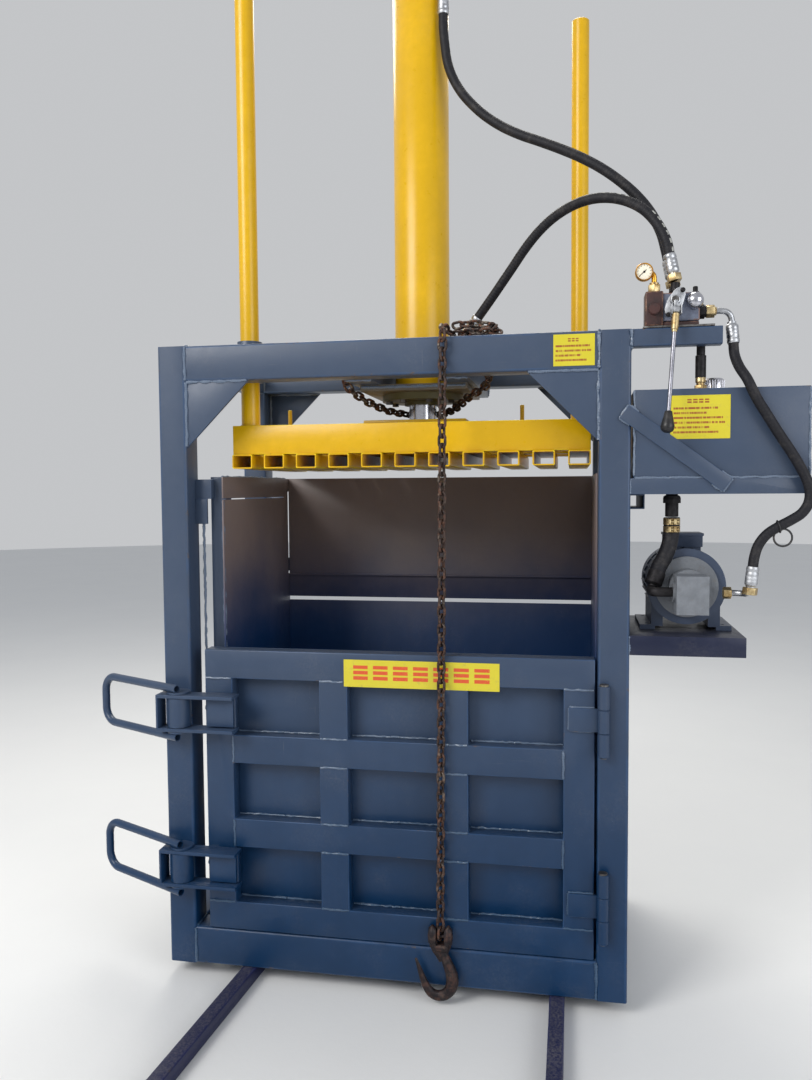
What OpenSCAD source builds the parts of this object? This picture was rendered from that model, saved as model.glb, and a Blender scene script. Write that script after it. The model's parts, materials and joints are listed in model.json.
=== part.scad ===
// Vertical hydraulic recycling baler: welded portal frame, baling chamber, hinged door,
// guided platen under one cylinder, oil tank, motor pump and lever valve on the right side.

/* [Portal frame] */
// Width over the posts
frame_w = 1440; // [1300:10:1600]
// Height of the posts
post_h = 1970; // [1930:10:2050]
// Depth from the front face to the rear face
frame_d = 820; // [760:10:900]
// Side of the square post tube
post_s = 90; // [80:5:100]
// Wall of the frame tubes
tube_t = 6; // [4:1:8]
// Height of the front top beam
front_beam_h = 110; // [100:5:120]
// Height of the rear and side top beams
rear_beam_h = 70; // [60:5:80]
// Height of the bottom beams
base_beam_h = 120; // [100:5:140]
// Leg of the corner gussets
gusset_leg = 205; // [160:5:230]
// Thickness of the corner gussets
gusset_t = 10; // [6:1:14]
// Side of the base skid tubes
skid_s = 45; // [40:1:60]
// Wall of the base skid tubes
skid_t = 4; // [3:1:6]
// Reach of the skids in front of the portal
skid_front = 620; // [500:10:700]
// Rear end of the skids behind the front face
skid_rear = 960; // [920:10:1000]
// Turn of the left skid, which lies askew
skid_skew = 4.9; // [3:0.1:6]

/* [Chamber] */
// Inner side of the left wall, left of the frame's centre
chamber_left = 536; // [520:1:545]
// Thickness of the wall sheets
sheet_t = 5; // [4:1:6]
// Height of the chamber walls above the floor that the baler stands on
wall_top = 1610; // [1580:5:1620]
// Side of the inner chamber posts
inner_post_s = 50; // [40:2:54]
// Height of the stub tubes that hold the inner posts
stub_h = 70; // [50:5:80]
// Side of the wall stiffener tubes
rail_s = 50; // [40:2:50]
// Height of the open slit in the rear wall
slit_z = 1137; // [1100:1:1160]
// Width of the open slits
slit_w = 14; // [8:1:20]

/* [Door] */
// Height of the door
door_h = 898; // [840:2:900]
// Width of the door
door_w = 1205; // [1190:1:1206]
// Depth of the door's box sections
door_d = 50; // [40:1:55]
// Width of the door's rails and stiles
door_rail = 90; // [70:2:100]
// Rows and columns of recessed panels
door_cells = 3; // [2:1:3]
// Running gap between the door and the post at the hinge
door_gap = 7; // [5:1:10]
// Diameter of the hinge barrels
knuckle_d = 34; // [30:1:36]
// Diameter of the hinge pins
hinge_pin_d = 18; // [14:1:22]
// Length of one hinge knuckle
knuckle_l = 69; // [50:1:75]
// Distance of the hinge axis in front of the posts
hinge_out = 20; // [19:0.5:24]
// Distance of the hinge axis inside the right post's inner edge
hinge_in = 18; // [17:1:24]
// Thickness of the hinge leaves
leaf_t = 10; // [8:1:12]

/* [Latches] */
// Height of the upper latch's middle
upper_latch_z = 876; // [840:1:900]
// Height of the lower latch's middle
lower_latch_z = 383; // [350:1:450]
// Diameter of the fixed latch drum
drum_d = 72; // [66:1:74]
// Height of the fixed latch drum
drum_h = 91; // [80:1:100]
// Diameter of the latch shaft
latch_shaft_d = 44; // [40:1:48]
// Throw of the eccentric journal
latch_throw = 8; // [6:0.5:8]
// Diameter of the eccentric journal
journal_d = 24; // [20:1:26]
// Thickness of the latch loop's plates
loop_t = 10; // [8:1:12]
// Depth of the latch loop's plates
loop_d = 60; // [50:1:62]
// Diameter of the hook bar
hook_bar_d = 12; // [10:1:14]
// Diameter of the handle tube
handle_d = 25; // [22:1:28]
// Wall of the handle tube
handle_t = 2.5; // [2:0.5:4]
// Length of the handle from its cut ends
handle_l = 365; // [300:5:400]
// Bend radius of the handle
handle_bend = 48; // [40:1:60]
// Angle of the handle behind the portal's plane
handle_back = 26; // [22:1:28]

/* [Cylinder and ram] */
// Right of the frame's centre to the cylinder axis
cyl_x = 52; // [45:1:54]
// Outer diameter of the barrel
barrel_d = 185; // [175:1:195]
// Bore of the barrel
bore_d = 150; // [140:1:160]
// Length of the barrel
barrel_l = 1350; // [1330:5:1400]
// Diameter of the rod
rod_d = 95; // [80:1:100]
// Side of the cylinder's mounting plate across the portal
mount_w = 350; // [340:2:380]
// Thickness of the cylinder's mounting plate
mount_t = 20; // [16:1:25]
// Diameter of the gland flange
flange_d = 275; // [260:1:300]
// Thickness of the gland flange
flange_t = 22; // [18:1:26]
// Number of flange bolts
flange_bolts_n = 8; // [6:1:10]

/* [Platen] */
// Width of the platen
platen_w = 1132; // [1100:2:1136]
// Depth of the platen
platen_d = 604; // [580:2:606]
// Height of the platen above the floor that the baler stands on
platen_z = 1636; // [1630:1:1640]
// Height of the channels across the platen
channel_h = 93; // [85:1:100]
// Number of tubes under the platen
platen_tubes_n = 11; // [9:2:13]
// Width of the channels' flanges
channel_w = 80; // [70:1:84]
// Width of a platen tube
platen_tube_w = 67; // [60:1:74]
// Height of a platen tube
platen_tube_h = 45; // [40:1:48]
// Diameter of the guide tubes
guide_d = 60; // [50:1:64]
// Distance of the guide tubes from the cylinder axis
guide_x = 527; // [505:1:527]
// Top of the guide tubes
guide_top = 3200; // [3150:5:3250]
// Wall of the guide sleeves
sleeve_t = 10; // [6:1:12]

/* [Tank and drive] */
// Right end of the tank, right of the frame's centre
tank_right = 1200; // [1150:5:1250]
// Height of the tank
tank_h = 250; // [240:5:255]
// Depth of the tank
tank_d = 400; // [360:10:450]
// Wall of the tank
tank_t = 4; // [3:1:6]
// Side of the tank rails
tank_rail_s = 46; // [40:1:50]
// Height of the tank rails' lower face
tank_rail_z = 1547; // [1540:1:1560]
// Diameter of the filler cap
cap_d = 61; // [50:1:70]
// Height of the motor shelf's upper face
shelf_z = 1140; // [1120:5:1150]
// Distance from the frame's centre to the motor axis
motor_x = 890; // [880:5:900]
// Diameter of the motor housing
motor_d = 226; // [200:2:236]
// Length of the motor housing
motor_l = 250; // [230:5:270]
// Height of the motor shaft above its feet
motor_axis_h = 132; // [132:1:140]
// Tooth module of the pump gears
gear_m = 3.5; // [3:0.25:4]
// Teeth of each pump gear
gear_n = 12; // [12:1:14]
// Side of the valve bracket tube
bracket_s = 50; // [40:1:50]

/* [Lifting chain] */
// Wire diameter of the chain
chain_wire = 8.6; // [8:0.1:8.8]
// Inner length of a link
chain_pitch = 28; // [27:0.5:30]
// Outer width of a link
chain_w = 30; // [29:0.5:32]

/* [Hidden] */
$fn = 48;

blue = [0.17, 0.30, 0.42];
deep_blue = [0.05, 0.07, 0.30];
yellow = [0.95, 0.75, 0.08];
steel = [0.62, 0.63, 0.65];
black = [0.07, 0.07, 0.08];
rust = [0.22, 0.13, 0.10];
brass = [0.72, 0.56, 0.25];
maroon = [0.33, 0.14, 0.11];
motor_grey = [0.18, 0.22, 0.30];

// Fits and seats
eps = 0.01;
run = 0.05;
air = 0.4;

// Frame levels and edges, measured from the floor and from the middle of the front face
half_w = frame_w/2;
inner_x = half_w - post_s;
base_z = skid_s;
top_z = base_z + post_h;
front_bottom = top_z - front_beam_h;
floor_z = base_z + base_beam_h;
rear_y = frame_d - post_s;
chamber_right = inner_x - sheet_t;
chamber_mid = (chamber_right - chamber_left)/2;
cyl_y = frame_d/2;

// Door and hinge
door_face = -2;
door_x1 = inner_x - door_gap;
door_x0 = door_x1 - door_w;
door_z0 = floor_z + 4;
door_z1 = door_z0 + door_h;
cell_w = (door_w - (door_cells + 1)*door_rail)/door_cells;
cell_h = (door_h - (door_cells + 1)*door_rail)/door_cells;
hinge_x = inner_x + hinge_in;
hinge_y = -hinge_out;
hinge_zs = [door_z0 + 167, door_z0 + 722];
leaf_reach = 100;

// Latch
drum_x = -(half_w - 65);
drum_y = -(drum_d/2 + 2);
loop_gap = 2;
loop_in = drum_h/2 + loop_gap;
loop_out = loop_in + loop_t;
loop_y0 = drum_y - 37;
loop_x0 = drum_x - drum_d/2 - 25;
strip_t = 6;
catch_x0 = door_x0 + 23;
catch_w = 74;
catch_x1 = catch_x0 + catch_w;
lip = 12;
bar_x = catch_x1 + hook_bar_d/2 + 1;
bar_y = -22;
loop_x1 = bar_x + hook_bar_d/2 + 6;
disc_t = 6;
disc_gap = 1;
arm_z = loop_out + disc_gap + disc_t + handle_d/2 - 1;
handle_dir = 180 - handle_back;
arm_start = [drum_x + 7, drum_y - 28];

// Cylinder and ram
mount_top = front_bottom;
mount_bottom = mount_top - mount_t;
flange_bottom = mount_bottom - flange_t;
gland_nose = 12;
barrel_top = mount_top + barrel_l;
cap_t = 40;
tubes_top = platen_z + platen_tube_h;
channels_top = tubes_top + channel_h;
pad_t = 18;
pad_top = channels_top + pad_t;
piston_l = 90;
piston_top = barrel_top - 35;
platen_y0 = cyl_y - platen_d/2;
cross_beam_w = 90;
cross_beam_x = barrel_d/2 + 12 + cross_beam_w/2;
guide_in = 70;
guide_front_y = post_s + guide_in;
guide_rear_y = rear_y - guide_in;
sleeve_h = 130;
channel_ys = [platen_y0 + 8, cyl_y - channel_w/2, platen_y0 + platen_d - channel_w - 8];
channel_t = 8;

// Tank and drive
tank_x0 = half_w + 8;
tank_z0 = tank_rail_z + tank_rail_s;
tank_y0 = 2;
filler = [965, 150];
neck_d = 44;
motor_z = shelf_z + motor_axis_h;
fin_h = 10;
core_d = motor_d - 2*fin_h;
box_y = 70;
box_l = 100;
motor_y0 = 120;
shelf_h = 56;
shelf_x1 = motor_x + 150;
bell_y0 = 60;
pump_y0 = -30;
gear_w = 34;
pitch_r = gear_m*gear_n/2;
gear_gap = 2*pitch_r + 0.12;
gear_y0 = 0;
shaft_d = 16;

// Valve
valve_base_z = top_z + 6;
valve_y0 = 4;
valve_x0 = half_w + 36;
lever_x = valve_x0 + 81;
lever_y = -26;
lever_z = valve_base_z + 38;
spool_z = valve_base_z + 68;
spool_d = 18;

hook_pin_d = 11;

// The object's own left, right, front and rear limits set the origin at the middle of its base
handle_out_x = arm_start[0] + cos(handle_dir)*handle_l - handle_d/2;
origin_x = (handle_out_x + tank_right)/2;
origin_y = (skid_rear - skid_front)/2;

// Hose routes, chosen by hand
laid_upper = [[140,330,3105], [140,330,3060], [145,328,3005], [153,325,2950], [169,320,2900],
    [195,311,2850], [228,300,2805], [275,286,2755], [330,270,2710], [390,252,2672],
    [455,232,2638], [520,211,2602], [580,190,2565], [640,171,2522], [695,155,2474],
    [742,142,2424], [780,131,2370], [808,124,2312], [823,121,2256], [830,120,2222]];
laid_lower = [[248,332,2124], [288,314,2172], [328,297,2222], [366,280,2270],
    [406,259,2320], [450,233,2364], [498,204,2397], [552,172,2418], [608,142,2425],
    [664,116,2417], [715,95,2396], [760,77,2362], [795,62,2315], [817,52,2266], [826,48,2222]];
pressure_route = [[1000,38,1974], [1003,34,1937], [1013,14,1900], [1030,-14,1862], [1054,-17,1810],
    [1082,-18,1763], [1111,-18,1715], [1142,-18,1667], [1170,-19,1619], [1192,-20,1570], [1194,-21,1528],
    [1177,-21,1495], [1148,-20,1474], [1116,-20,1456], [1085,-20,1434], [1063,-20,1403],
    [1053,-20,1368], [1050,-20,1340]];
suction_route = [[844,100,1478], [844,100,1440], [838,97,1400], [824,90,1362], [808,82,1334],
    [800,74,1312]];

// The two cylinder hoses were laid with the cylinder here, and their near ends follow it
laid_cyl = [52, 410];
cyl_move = [cyl_x - laid_cyl[0], cyl_y - laid_cyl[1], 0];
function led(line) = let(n = len(line) - 1) [for (i = [0:n]) line[i] + cyl_move*(1 - i/n)];
upper_route = led(laid_upper);
lower_route = led(laid_lower);

// Ports of the barrel, each turned towards the fitting that it carries
ferrule_l = 56;
hex_l = 20;
port_l = 10;
top_port_z = barrel_top - 48;
base_port_z = top_z + 41;
base_tip = lower_route[0] - (ferrule_l + hex_l)*heading(lower_route, 0);
top_port_dir = unit([upper_route[0][0] - cyl_x, upper_route[0][1] - cyl_y, 0]);
base_port_dir = unit([base_tip[0] - cyl_x, base_tip[1] - cyl_y, 0]);

// Chain routes, chosen by hand: over the beam and down to the hook, the heap, and the sling
hang_route = [[262,50,2027], [206,54,2027], [186,34,2036], [182,8,2044], [182,-17,2028],
    [182,-19,2000], [168,-24,200]];
heap_route = [[346,40,2027], [262,20,2027], [210,78,2027], [300,78,2027], [352,60,2036],
    [310,50,2052], [240,48,2056], [200,66,2052]];
sling_route = [[-60,250,2027], [-118,248,2034], [-156,238,2030], [-168,215,1990], [-166,202,1940],
    [-162,200,1894], [-114,290,1856], [-66,380,1834], [-20,474,1828], [52,506,1824], [120,478,1828],
        [172,390,1840],
    [222,290,1864], [290,206,1890], [308,130,1930], [310,110,1990], [310,112,2028], [320,74,2046],
    [330,30,2038]];
links_on_beam = 7;
max_links = 200;

// Hook outline from its pin, chosen by hand, with its thickness at each point
hook_route = [[4,0,-22], [9,0,-50], [20,0,-80], [32,0,-110], [36,0,-139], [29,0,-165], [11,0,-182],
    [-11,0,-186], [-30,0,-178], [-44,0,-160], [-54,0,-138], [-63,0,-112], [-71,0,-90], [-76,0,-76]];
hook_ds = [30, 25, 28, 34, 38, 38, 35, 33, 30, 26, 22, 17, 12, 7];
upper_hose_d = 30;
lower_hose_d = 30;
pressure_hose_d = 28;
suction_hose_d = 46;

// Moves a piece from the frame's own axes to the object's origin
module placed() {
    translate([-origin_x, -origin_y, 0]) children();
}

// A block between two corners
module block(a, b) {
    translate(a) cube([b[0] - a[0], b[1] - a[1], b[2] - a[2]]);
}

// A square tube between two corners, open along the axis that is named
module tube(a, b, t, axis) {
    g = [axis == 0 ? -1 : t, axis == 1 ? -1 : t, axis == 2 ? -1 : t];
    difference() {
        block(a, b);
        block([a[0] + g[0], a[1] + g[1], a[2] + g[2]], [b[0] - g[0], b[1] - g[1], b[2] - g[2]]);
    }
}

// A round bar from one point to another
module bar(a, b, d, d_in = 0) {
    v = b - a;
    l = norm(v);
    translate(a) rotate([0, acos(v[2]/l), atan2(v[1], v[0])]) difference() {
        cylinder(h = l, d = d);
        if (d_in > 0) translate([0, 0, -1]) cylinder(h = l + 2, d = d_in);
    }
}

// A hexagon nut or bar from one point to another
module hex_bar(a, b, flats) {
    v = b - a;
    l = norm(v);
    translate(a) rotate([0, acos(v[2]/l), atan2(v[1], v[0])]) cylinder(h = l, d = flats/cos(30), $fn = 6);
}

// A hose as a swept tube: one ring of corners at each point of its route
hose_sides = 10;
function unit(v) = v/norm(v);
function heading(route, i) = unit(route[min(i + 1, len(route) - 1)] - route[max(i - 1, 0)]);
function side_of(t) = unit(cross(t, [0, 1, 0]));
function ring(route, i, d) = let(t = heading(route, i), s = side_of(t), u = cross(t, s))
    [for (k = [0:hose_sides - 1]) route[i] + d/2*(cos(k*360/hose_sides)*s + sin(k*360/hose_sides)*u)];
module hose(route, d) { swept(route, [for (p = route) d]); }

module swept(route, ds) {
    n = len(route);
    corners = [for (i = [0:n - 1]) each ring(route, i, ds[i])];
    near = [[for (k = [0:hose_sides - 1]) k]];
    far = [[for (k = [0:hose_sides - 1]) n*hose_sides - 1 - k]];
    walls = [for (i = [0:n - 2], k = [0:hose_sides - 1]) let(next = (k + 1) % hose_sides)
        [i*hose_sides + k, (i + 1)*hose_sides + k, (i + 1)*hose_sides + next, i*hose_sides + next]];
    polyhedron(corners, concat(near, walls, far));
}

module skids() {
    color(deep_blue) placed() {
        left = -455;
        right = 516;
        translate([left, 0, 0]) rotate([0, 0, -skid_skew])
            tube([-skid_s/2, -skid_front, 0], [skid_s/2, skid_rear, skid_s], skid_t, 1);
        translate([right, 0, 0])
            tube([-skid_s/2, -skid_front, 0], [skid_s/2, skid_rear, skid_s], skid_t, 1);
    }
}

module posts() {
    color(blue) placed() for (x = [-half_w, inner_x], y = [0, rear_y])
        tube([x, y, base_z], [x + post_s, y + post_s, top_z], tube_t, 2);
}

module top_beams() {
    color(blue) placed() {
        tube([-inner_x, 0, front_bottom], [inner_x, post_s, top_z], tube_t, 0);
        tube([-inner_x, rear_y, top_z - rear_beam_h], [inner_x, frame_d, top_z], tube_t, 0);
        for (x = [-half_w, inner_x])
            tube([x, post_s, top_z - rear_beam_h], [x + post_s, rear_y, top_z], tube_t, 1);
    }
}

module base_beams() {
    color(blue) placed() {
        for (y = [0, rear_y])
            tube([-inner_x, y, base_z], [inner_x, y + post_s, floor_z], tube_t, 0);
        for (x = [-half_w, inner_x])
            tube([x, post_s, base_z], [x + post_s, rear_y, floor_z], tube_t, 1);
    }
}

// A triangular plate in the corner under a beam; side is -1 at the left and 1 at the right
module gusset(side, y, under) {
    translate([side*inner_x, y + gusset_t, under]) rotate([90, 0, 0])
        linear_extrude(gusset_t) polygon([[0, 0], [-side*gusset_leg, 0], [0, -gusset_leg]]);
}

module gussets() {
    front_y = 6;
    color(blue) placed() for (side = [-1, 1]) {
        gusset(side, front_y, front_bottom);
        gusset(side, frame_d - front_y - gusset_t, top_z - rear_beam_h);
    }
}

// Two beams from front to rear that carry the cylinder, and the sleeves of the guide tubes
module crosshead() {
    block_w = 30;
    color(blue) placed() {
        for (side = [-1, 1]) translate([cyl_x + side*cross_beam_x, 0, 0])
            tube([-cross_beam_w/2, post_s, front_bottom], [cross_beam_w/2, rear_y, top_z], tube_t, 1);
        for (g = [[-guide_x, guide_front_y, post_s], [guide_x, guide_rear_y, rear_y]])
            translate([cyl_x + g[0], 0, top_z - sleeve_h + 30]) difference() {
                union() {
                    translate([0, g[1], 0]) cylinder(h = sleeve_h, d = guide_d + 2*sleeve_t);
                    block([-block_w/2, min(g[1], g[2]), 40], [block_w/2, max(g[1], g[2]), 90]);
                }
                translate([0, g[1], -1]) cylinder(h = sleeve_h + 2, d = guide_d + 2*air);
            }
    }
}

module cylinder_plate() {
    color(blue) placed() translate([cyl_x, cyl_y, mount_bottom]) difference() {
        block([-mount_w/2, -mount_w/2 - 15, 0], [mount_w/2, mount_w/2 + 15, mount_t]);
        translate([0, 0, -1]) cylinder(h = mount_t + 2, d = bore_d + 2*air);
        for (a = [0:360/flange_bolts_n:359]) rotate(a + 20)
            translate([flange_d/2 - 22, 0, -1]) cylinder(h = mount_t + 2, d = 14 + 2*run);
    }
}

module barrel() {
    boss_d = 46;
    port_d = 16;
    ports = [[base_port_z, base_port_dir], [top_port_z, top_port_dir]];
    color(yellow) placed() translate([cyl_x, cyl_y, 0]) difference() {
        union() {
            translate([0, 0, mount_top]) cylinder(h = barrel_l, d = barrel_d, $fn = 96);
            for (p = ports) translate([0, 0, p[0]]) rotate([0, 90, atan2(p[1][1], p[1][0])])
                cylinder(h = barrel_d/2 + port_l, d = boss_d);
        }
        translate([0, 0, mount_top - 1]) cylinder(h = barrel_l + 2, d = bore_d, $fn = 96);
        for (p = ports) translate([0, 0, p[0]]) rotate([0, 90, atan2(p[1][1], p[1][0])])
            cylinder(h = barrel_d, d = port_d);
    }
}

module end_cap() {
    color(yellow) placed() translate([cyl_x, cyl_y, barrel_top]) {
        cylinder(h = cap_t, d = barrel_d, $fn = 96);
        translate([0, 0, cap_t]) cylinder(h = 14, d = 60);
        translate([0, 0, -20]) cylinder(h = 20, d = bore_d - 2*run);
    }
}

// Gland flange under the mounting plate, with its spigot up into the barrel
module head_gland() {
    color(steel) placed() translate([cyl_x, cyl_y, flange_bottom]) difference() {
        union() {
            cylinder(h = flange_t, d = flange_d);
            translate([0, 0, -gland_nose]) cylinder(h = gland_nose, d = rod_d + 30);
            cylinder(h = flange_t + mount_t + 40, d = bore_d - 2*run);
        }
        translate([0, 0, -gland_nose - 1]) cylinder(h = 200, d = rod_d + 2*run);
        for (a = [0:360/flange_bolts_n:359]) rotate(a + 20)
            translate([flange_d/2 - 22, 0, -gland_nose - 1]) cylinder(h = 60, d = 14 + 2*run);
    }
}

module flange_bolts() {
    head = 9;
    color(steel) placed() translate([cyl_x, cyl_y, flange_bottom])
        for (a = [0:360/flange_bolts_n:359]) rotate(a + 20) translate([flange_d/2 - 22, 0, 0]) {
            translate([0, 0, -head]) cylinder(h = head, d = 24, $fn = 6);
            cylinder(h = flange_t + mount_t - 1, d = 14);
        }
}

module chamber_floor() {
    color(blue) placed()
        block([-chamber_left - inner_post_s - sheet_t, 62, floor_z], [chamber_right, rear_y,
            floor_z + sheet_t]);
}

wall_z0 = floor_z + sheet_t;
wall_y0 = 62;
upper_line = 1537;

module left_wall() {
    x1 = -chamber_left;
    color(blue) placed() difference() {
        block([x1 - sheet_t, wall_y0, wall_z0], [x1, rear_y, wall_top]);
        block([x1 - sheet_t - 1, rear_y - slit_w, 1240], [x1 + 1, rear_y + 1, 1560]);
        block([x1 - sheet_t - 1, wall_y0 - 1, upper_line], [x1 + 1, rear_y - 60, upper_line + 4]);
    }
}

module right_wall() {
    color(blue) placed() block([chamber_right, wall_y0, wall_z0], [inner_x, rear_y, wall_top]);
}

module rear_wall() {
    ledge_z = 1235;
    lip_d = 12;
    color(blue) placed() {
        block([-chamber_left, rear_y - sheet_t, wall_z0], [chamber_right, rear_y, slit_z]);
        block([-chamber_left, rear_y - sheet_t, slit_z + slit_w], [chamber_right, rear_y, wall_top]);
        block([-chamber_left, rear_y - sheet_t - lip_d, ledge_z], [chamber_right, rear_y - sheet_t,
            ledge_z + 6]);
    }
}

// Inner posts beside the left wall, the stubs that tie them to the left posts, and the stiffeners
module chamber_frame() {
    wall_x = -chamber_left - sheet_t;
    post_x = wall_x - inner_post_s;
    stub_z = wall_top - stub_h;
    stub_d = 40;
    front_y = post_s + 4;
    back_y = rear_y - inner_post_s - 4;
    bracket_h = 80;
    t = 4;
    color(blue) placed() {
        for (y = [front_y, back_y])
            tube([post_x, y, wall_z0], [wall_x, y + inner_post_s, wall_top], t, 2);
        for (y = [post_s - stub_d + 14, rear_y - 14])
            tube([-inner_x, y, stub_z], [post_x, y + stub_d, wall_top - 8], t, 0);
        block([-inner_x, post_s - 30, stub_z - bracket_h], [post_x, post_s - 20, stub_z]);
        block([post_x, post_s - 26, stub_z], [post_x + 14, front_y, wall_top - 8]);
        block([post_x, back_y + inner_post_s, stub_z], [post_x + 14, rear_y + 20, wall_top - 8]);
        for (z = [500, 900, 1290]) {
            tube([post_x, front_y + inner_post_s, z], [wall_x, back_y, z + rail_s], t, 1);
            tube([inner_x, post_s, z], [inner_x + rail_s, rear_y, z + rail_s], t, 1);
            tube([-inner_x, rear_y, z - 40], [inner_x, rear_y + rail_s, z - 40 + rail_s], t, 0);
        }
    }
}

// The post's knuckles at each hinge: one under and one over the door's knuckle
module hinge_knuckles() {
    color(blue) placed() for (z = hinge_zs, k = [-1, 1]) translate([hinge_x, hinge_y,
        z + k*(knuckle_l + 0.5)])
        difference() {
            union() {
                translate([0, 0, -knuckle_l/2]) cylinder(h = knuckle_l, d = knuckle_d);
                block([-10, 0, -knuckle_l/2], [10, hinge_out, knuckle_l/2]);
            }
            translate([0, 0, -knuckle_l]) cylinder(h = 2*knuckle_l, d = hinge_pin_d + 2*run);
        }
}

module hinge_pins() {
    half = 1.5*knuckle_l + 0.5;
    color(steel) placed() for (z = hinge_zs) translate([hinge_x, hinge_y, z]) {
        translate([0, 0, -half - 4]) cylinder(h = 2*half + 4, d = hinge_pin_d);
        translate([0, 0, half]) cylinder(h = 5, d = hinge_pin_d + 8);
    }
}

module hinge_leaves() {
    face_y = door_face - hinge_y;
    color(blue) placed() for (z = hinge_zs) translate([hinge_x, hinge_y, z]) difference() {
        union() {
            translate([0, 0, -knuckle_l/2]) cylinder(h = knuckle_l, d = knuckle_d);
            block([-leaf_reach, face_y - leaf_t, -knuckle_l/2], [0, face_y, knuckle_l/2]);
        }
        translate([0, 0, -knuckle_l]) cylinder(h = 2*knuckle_l, d = hinge_pin_d + 2*run);
    }
}

// The door's welded grid of box sections
module door_grid() {
    color(blue) placed() difference() {
        block([door_x0, door_face, door_z0], [door_x1, door_face + door_d, door_z1]);
        for (i = [0:door_cells - 1], k = [0:door_cells - 1])
            translate([door_x0 + door_rail + i*(cell_w + door_rail), door_face - 1,
                door_z0 + door_rail + k*(cell_h + door_rail)])
                cube([cell_w, door_d + 2, cell_h]);
    }
}

module door_skin() {
    color(blue) placed() block([door_x0, door_face + door_d, door_z0], [door_x1,
        door_face + door_d + sheet_t, door_z1]);
}

module door_catches() {
    catch_h = drum_h - 7;
    color(blue) placed() for (z = [upper_latch_z, lower_latch_z]) {
        difference() {
            block([catch_x0, -48, z - catch_h/2], [catch_x1 + lip, door_face, z + catch_h/2]);
            block([catch_x1, -37, z - catch_h], [catch_x1 + lip + 1, door_face + 1, z + catch_h]);
        }
        translate([catch_x0, -30, z + 14]) rotate([0, -90, 0]) cylinder(h = 9, d = 16);
    }
}

// Fixed drums on the left post, bored for the latch shafts
module latch_drums() {
    color(blue) placed() for (z = [upper_latch_z, lower_latch_z]) translate([drum_x, drum_y, z - drum_h/2])
        difference() {
            union() {
                cylinder(h = drum_h, d = drum_d);
                block([-20, 0, 0], [20, -drum_y, drum_h]);
            }
            translate([0, 0, -1]) cylinder(h = drum_h + 2, d = latch_shaft_d + 2*run);
        }
}

// A latch handle: shaft, two eccentric journals, lever discs and a bent tube with open ends
module latch_handle(z) {
    reach = handle_l - handle_bend;
    rise = arm_z - handle_bend;
    color(blue) placed() translate([0, 0, z]) {
        translate([drum_x, drum_y, -drum_h/2]) cylinder(h = drum_h, d = latch_shaft_d);
        translate([drum_x - latch_throw, drum_y, -loop_out - disc_gap])
            cylinder(h = 2*(loop_out + disc_gap), d = journal_d);
        for (s = [-1, 1]) {
            translate([drum_x, drum_y, s*(loop_out + disc_gap + disc_t/2) - disc_t/2])
                cylinder(h = disc_t, d = drum_d);
        }
        translate([arm_start[0], arm_start[1], 0]) rotate([0, 0, handle_dir]) difference() {
            union() {
                for (s = [-1, 1]) {
                    translate([0, 0, s*arm_z]) rotate([0, 90, 0]) cylinder(h = reach, d = handle_d);
                    translate([reach, 0, s*rise]) rotate([90, 0, 0])
                        rotate([0, 0, s > 0 ? 0 : -90]) rotate_extrude(angle = 90)
                            translate([handle_bend, 0]) circle(d = handle_d);
                }
                translate([handle_l, 0, -rise]) cylinder(h = 2*rise, d = handle_d);
            }
            for (s = [-1, 1]) translate([-1, 0, s*arm_z]) rotate([0, 90, 0])
                cylinder(h = reach + 1, d = handle_d - 2*handle_t);
        }
    }
}
module upper_handle() { latch_handle(upper_latch_z); }
module lower_handle() { latch_handle(lower_latch_z); }

// A latch loop: two plates, a strip at the left and the hook bar at the right
module latch_loop(z) {
    color(blue) placed() translate([0, 0, z]) difference() {
        union() {
            for (s = [-1, 1])
                block([loop_x0, loop_y0, s > 0 ? loop_in : -loop_out], [loop_x1, loop_y0 + loop_d,
                    s > 0 ? loop_out : -loop_in]);
            block([loop_x0, loop_y0, -loop_in - eps], [loop_x0 + strip_t, loop_y0 + loop_d, loop_in + eps]);
            translate([bar_x, bar_y, -loop_in - eps]) cylinder(h = 2*loop_in + 2*eps, d = hook_bar_d);
        }
        translate([drum_x - latch_throw, drum_y, -loop_out - 1])
            cylinder(h = 2*loop_out + 2, d = journal_d + 2*run);
    }
}
module upper_loop() { latch_loop(upper_latch_z); }
module lower_loop() { latch_loop(lower_latch_z); }

module piston() {
    color(steel) placed() translate([cyl_x, cyl_y, piston_top - piston_l]) difference() {
        cylinder(h = piston_l, d = bore_d - 2*run, $fn = 96);
        translate([0, 0, -1]) cylinder(h = piston_l + 2, d = rod_d - 20);
        seal_rings(bore_d + 2, bore_d - 10);
    }
}

// Three rings in the piston's grooves
module seal_rings(d_out, d_in) {
    for (k = [0:2]) translate([0, 0, 20 + 22*k]) difference() {
        cylinder(h = 6, d = d_out);
        translate([0, 0, -1]) cylinder(h = 8, d = d_in);
    }
}

module piston_seals() {
    color(black) placed() translate([cyl_x, cyl_y, piston_top - piston_l])
        seal_rings(bore_d - 2*run, bore_d - 10);
}

module rod() {
    color(steel) placed() translate([cyl_x, cyl_y, 0]) {
        translate([0, 0, pad_top]) cylinder(h = piston_top - piston_l - pad_top, d = rod_d, $fn = 96);
        translate([0, 0, piston_top - piston_l - 1]) cylinder(h = piston_l + 1, d = rod_d - 20);
        translate([0, 0, piston_top]) cylinder(h = 12, d = 84, $fn = 6);
    }
}

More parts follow.
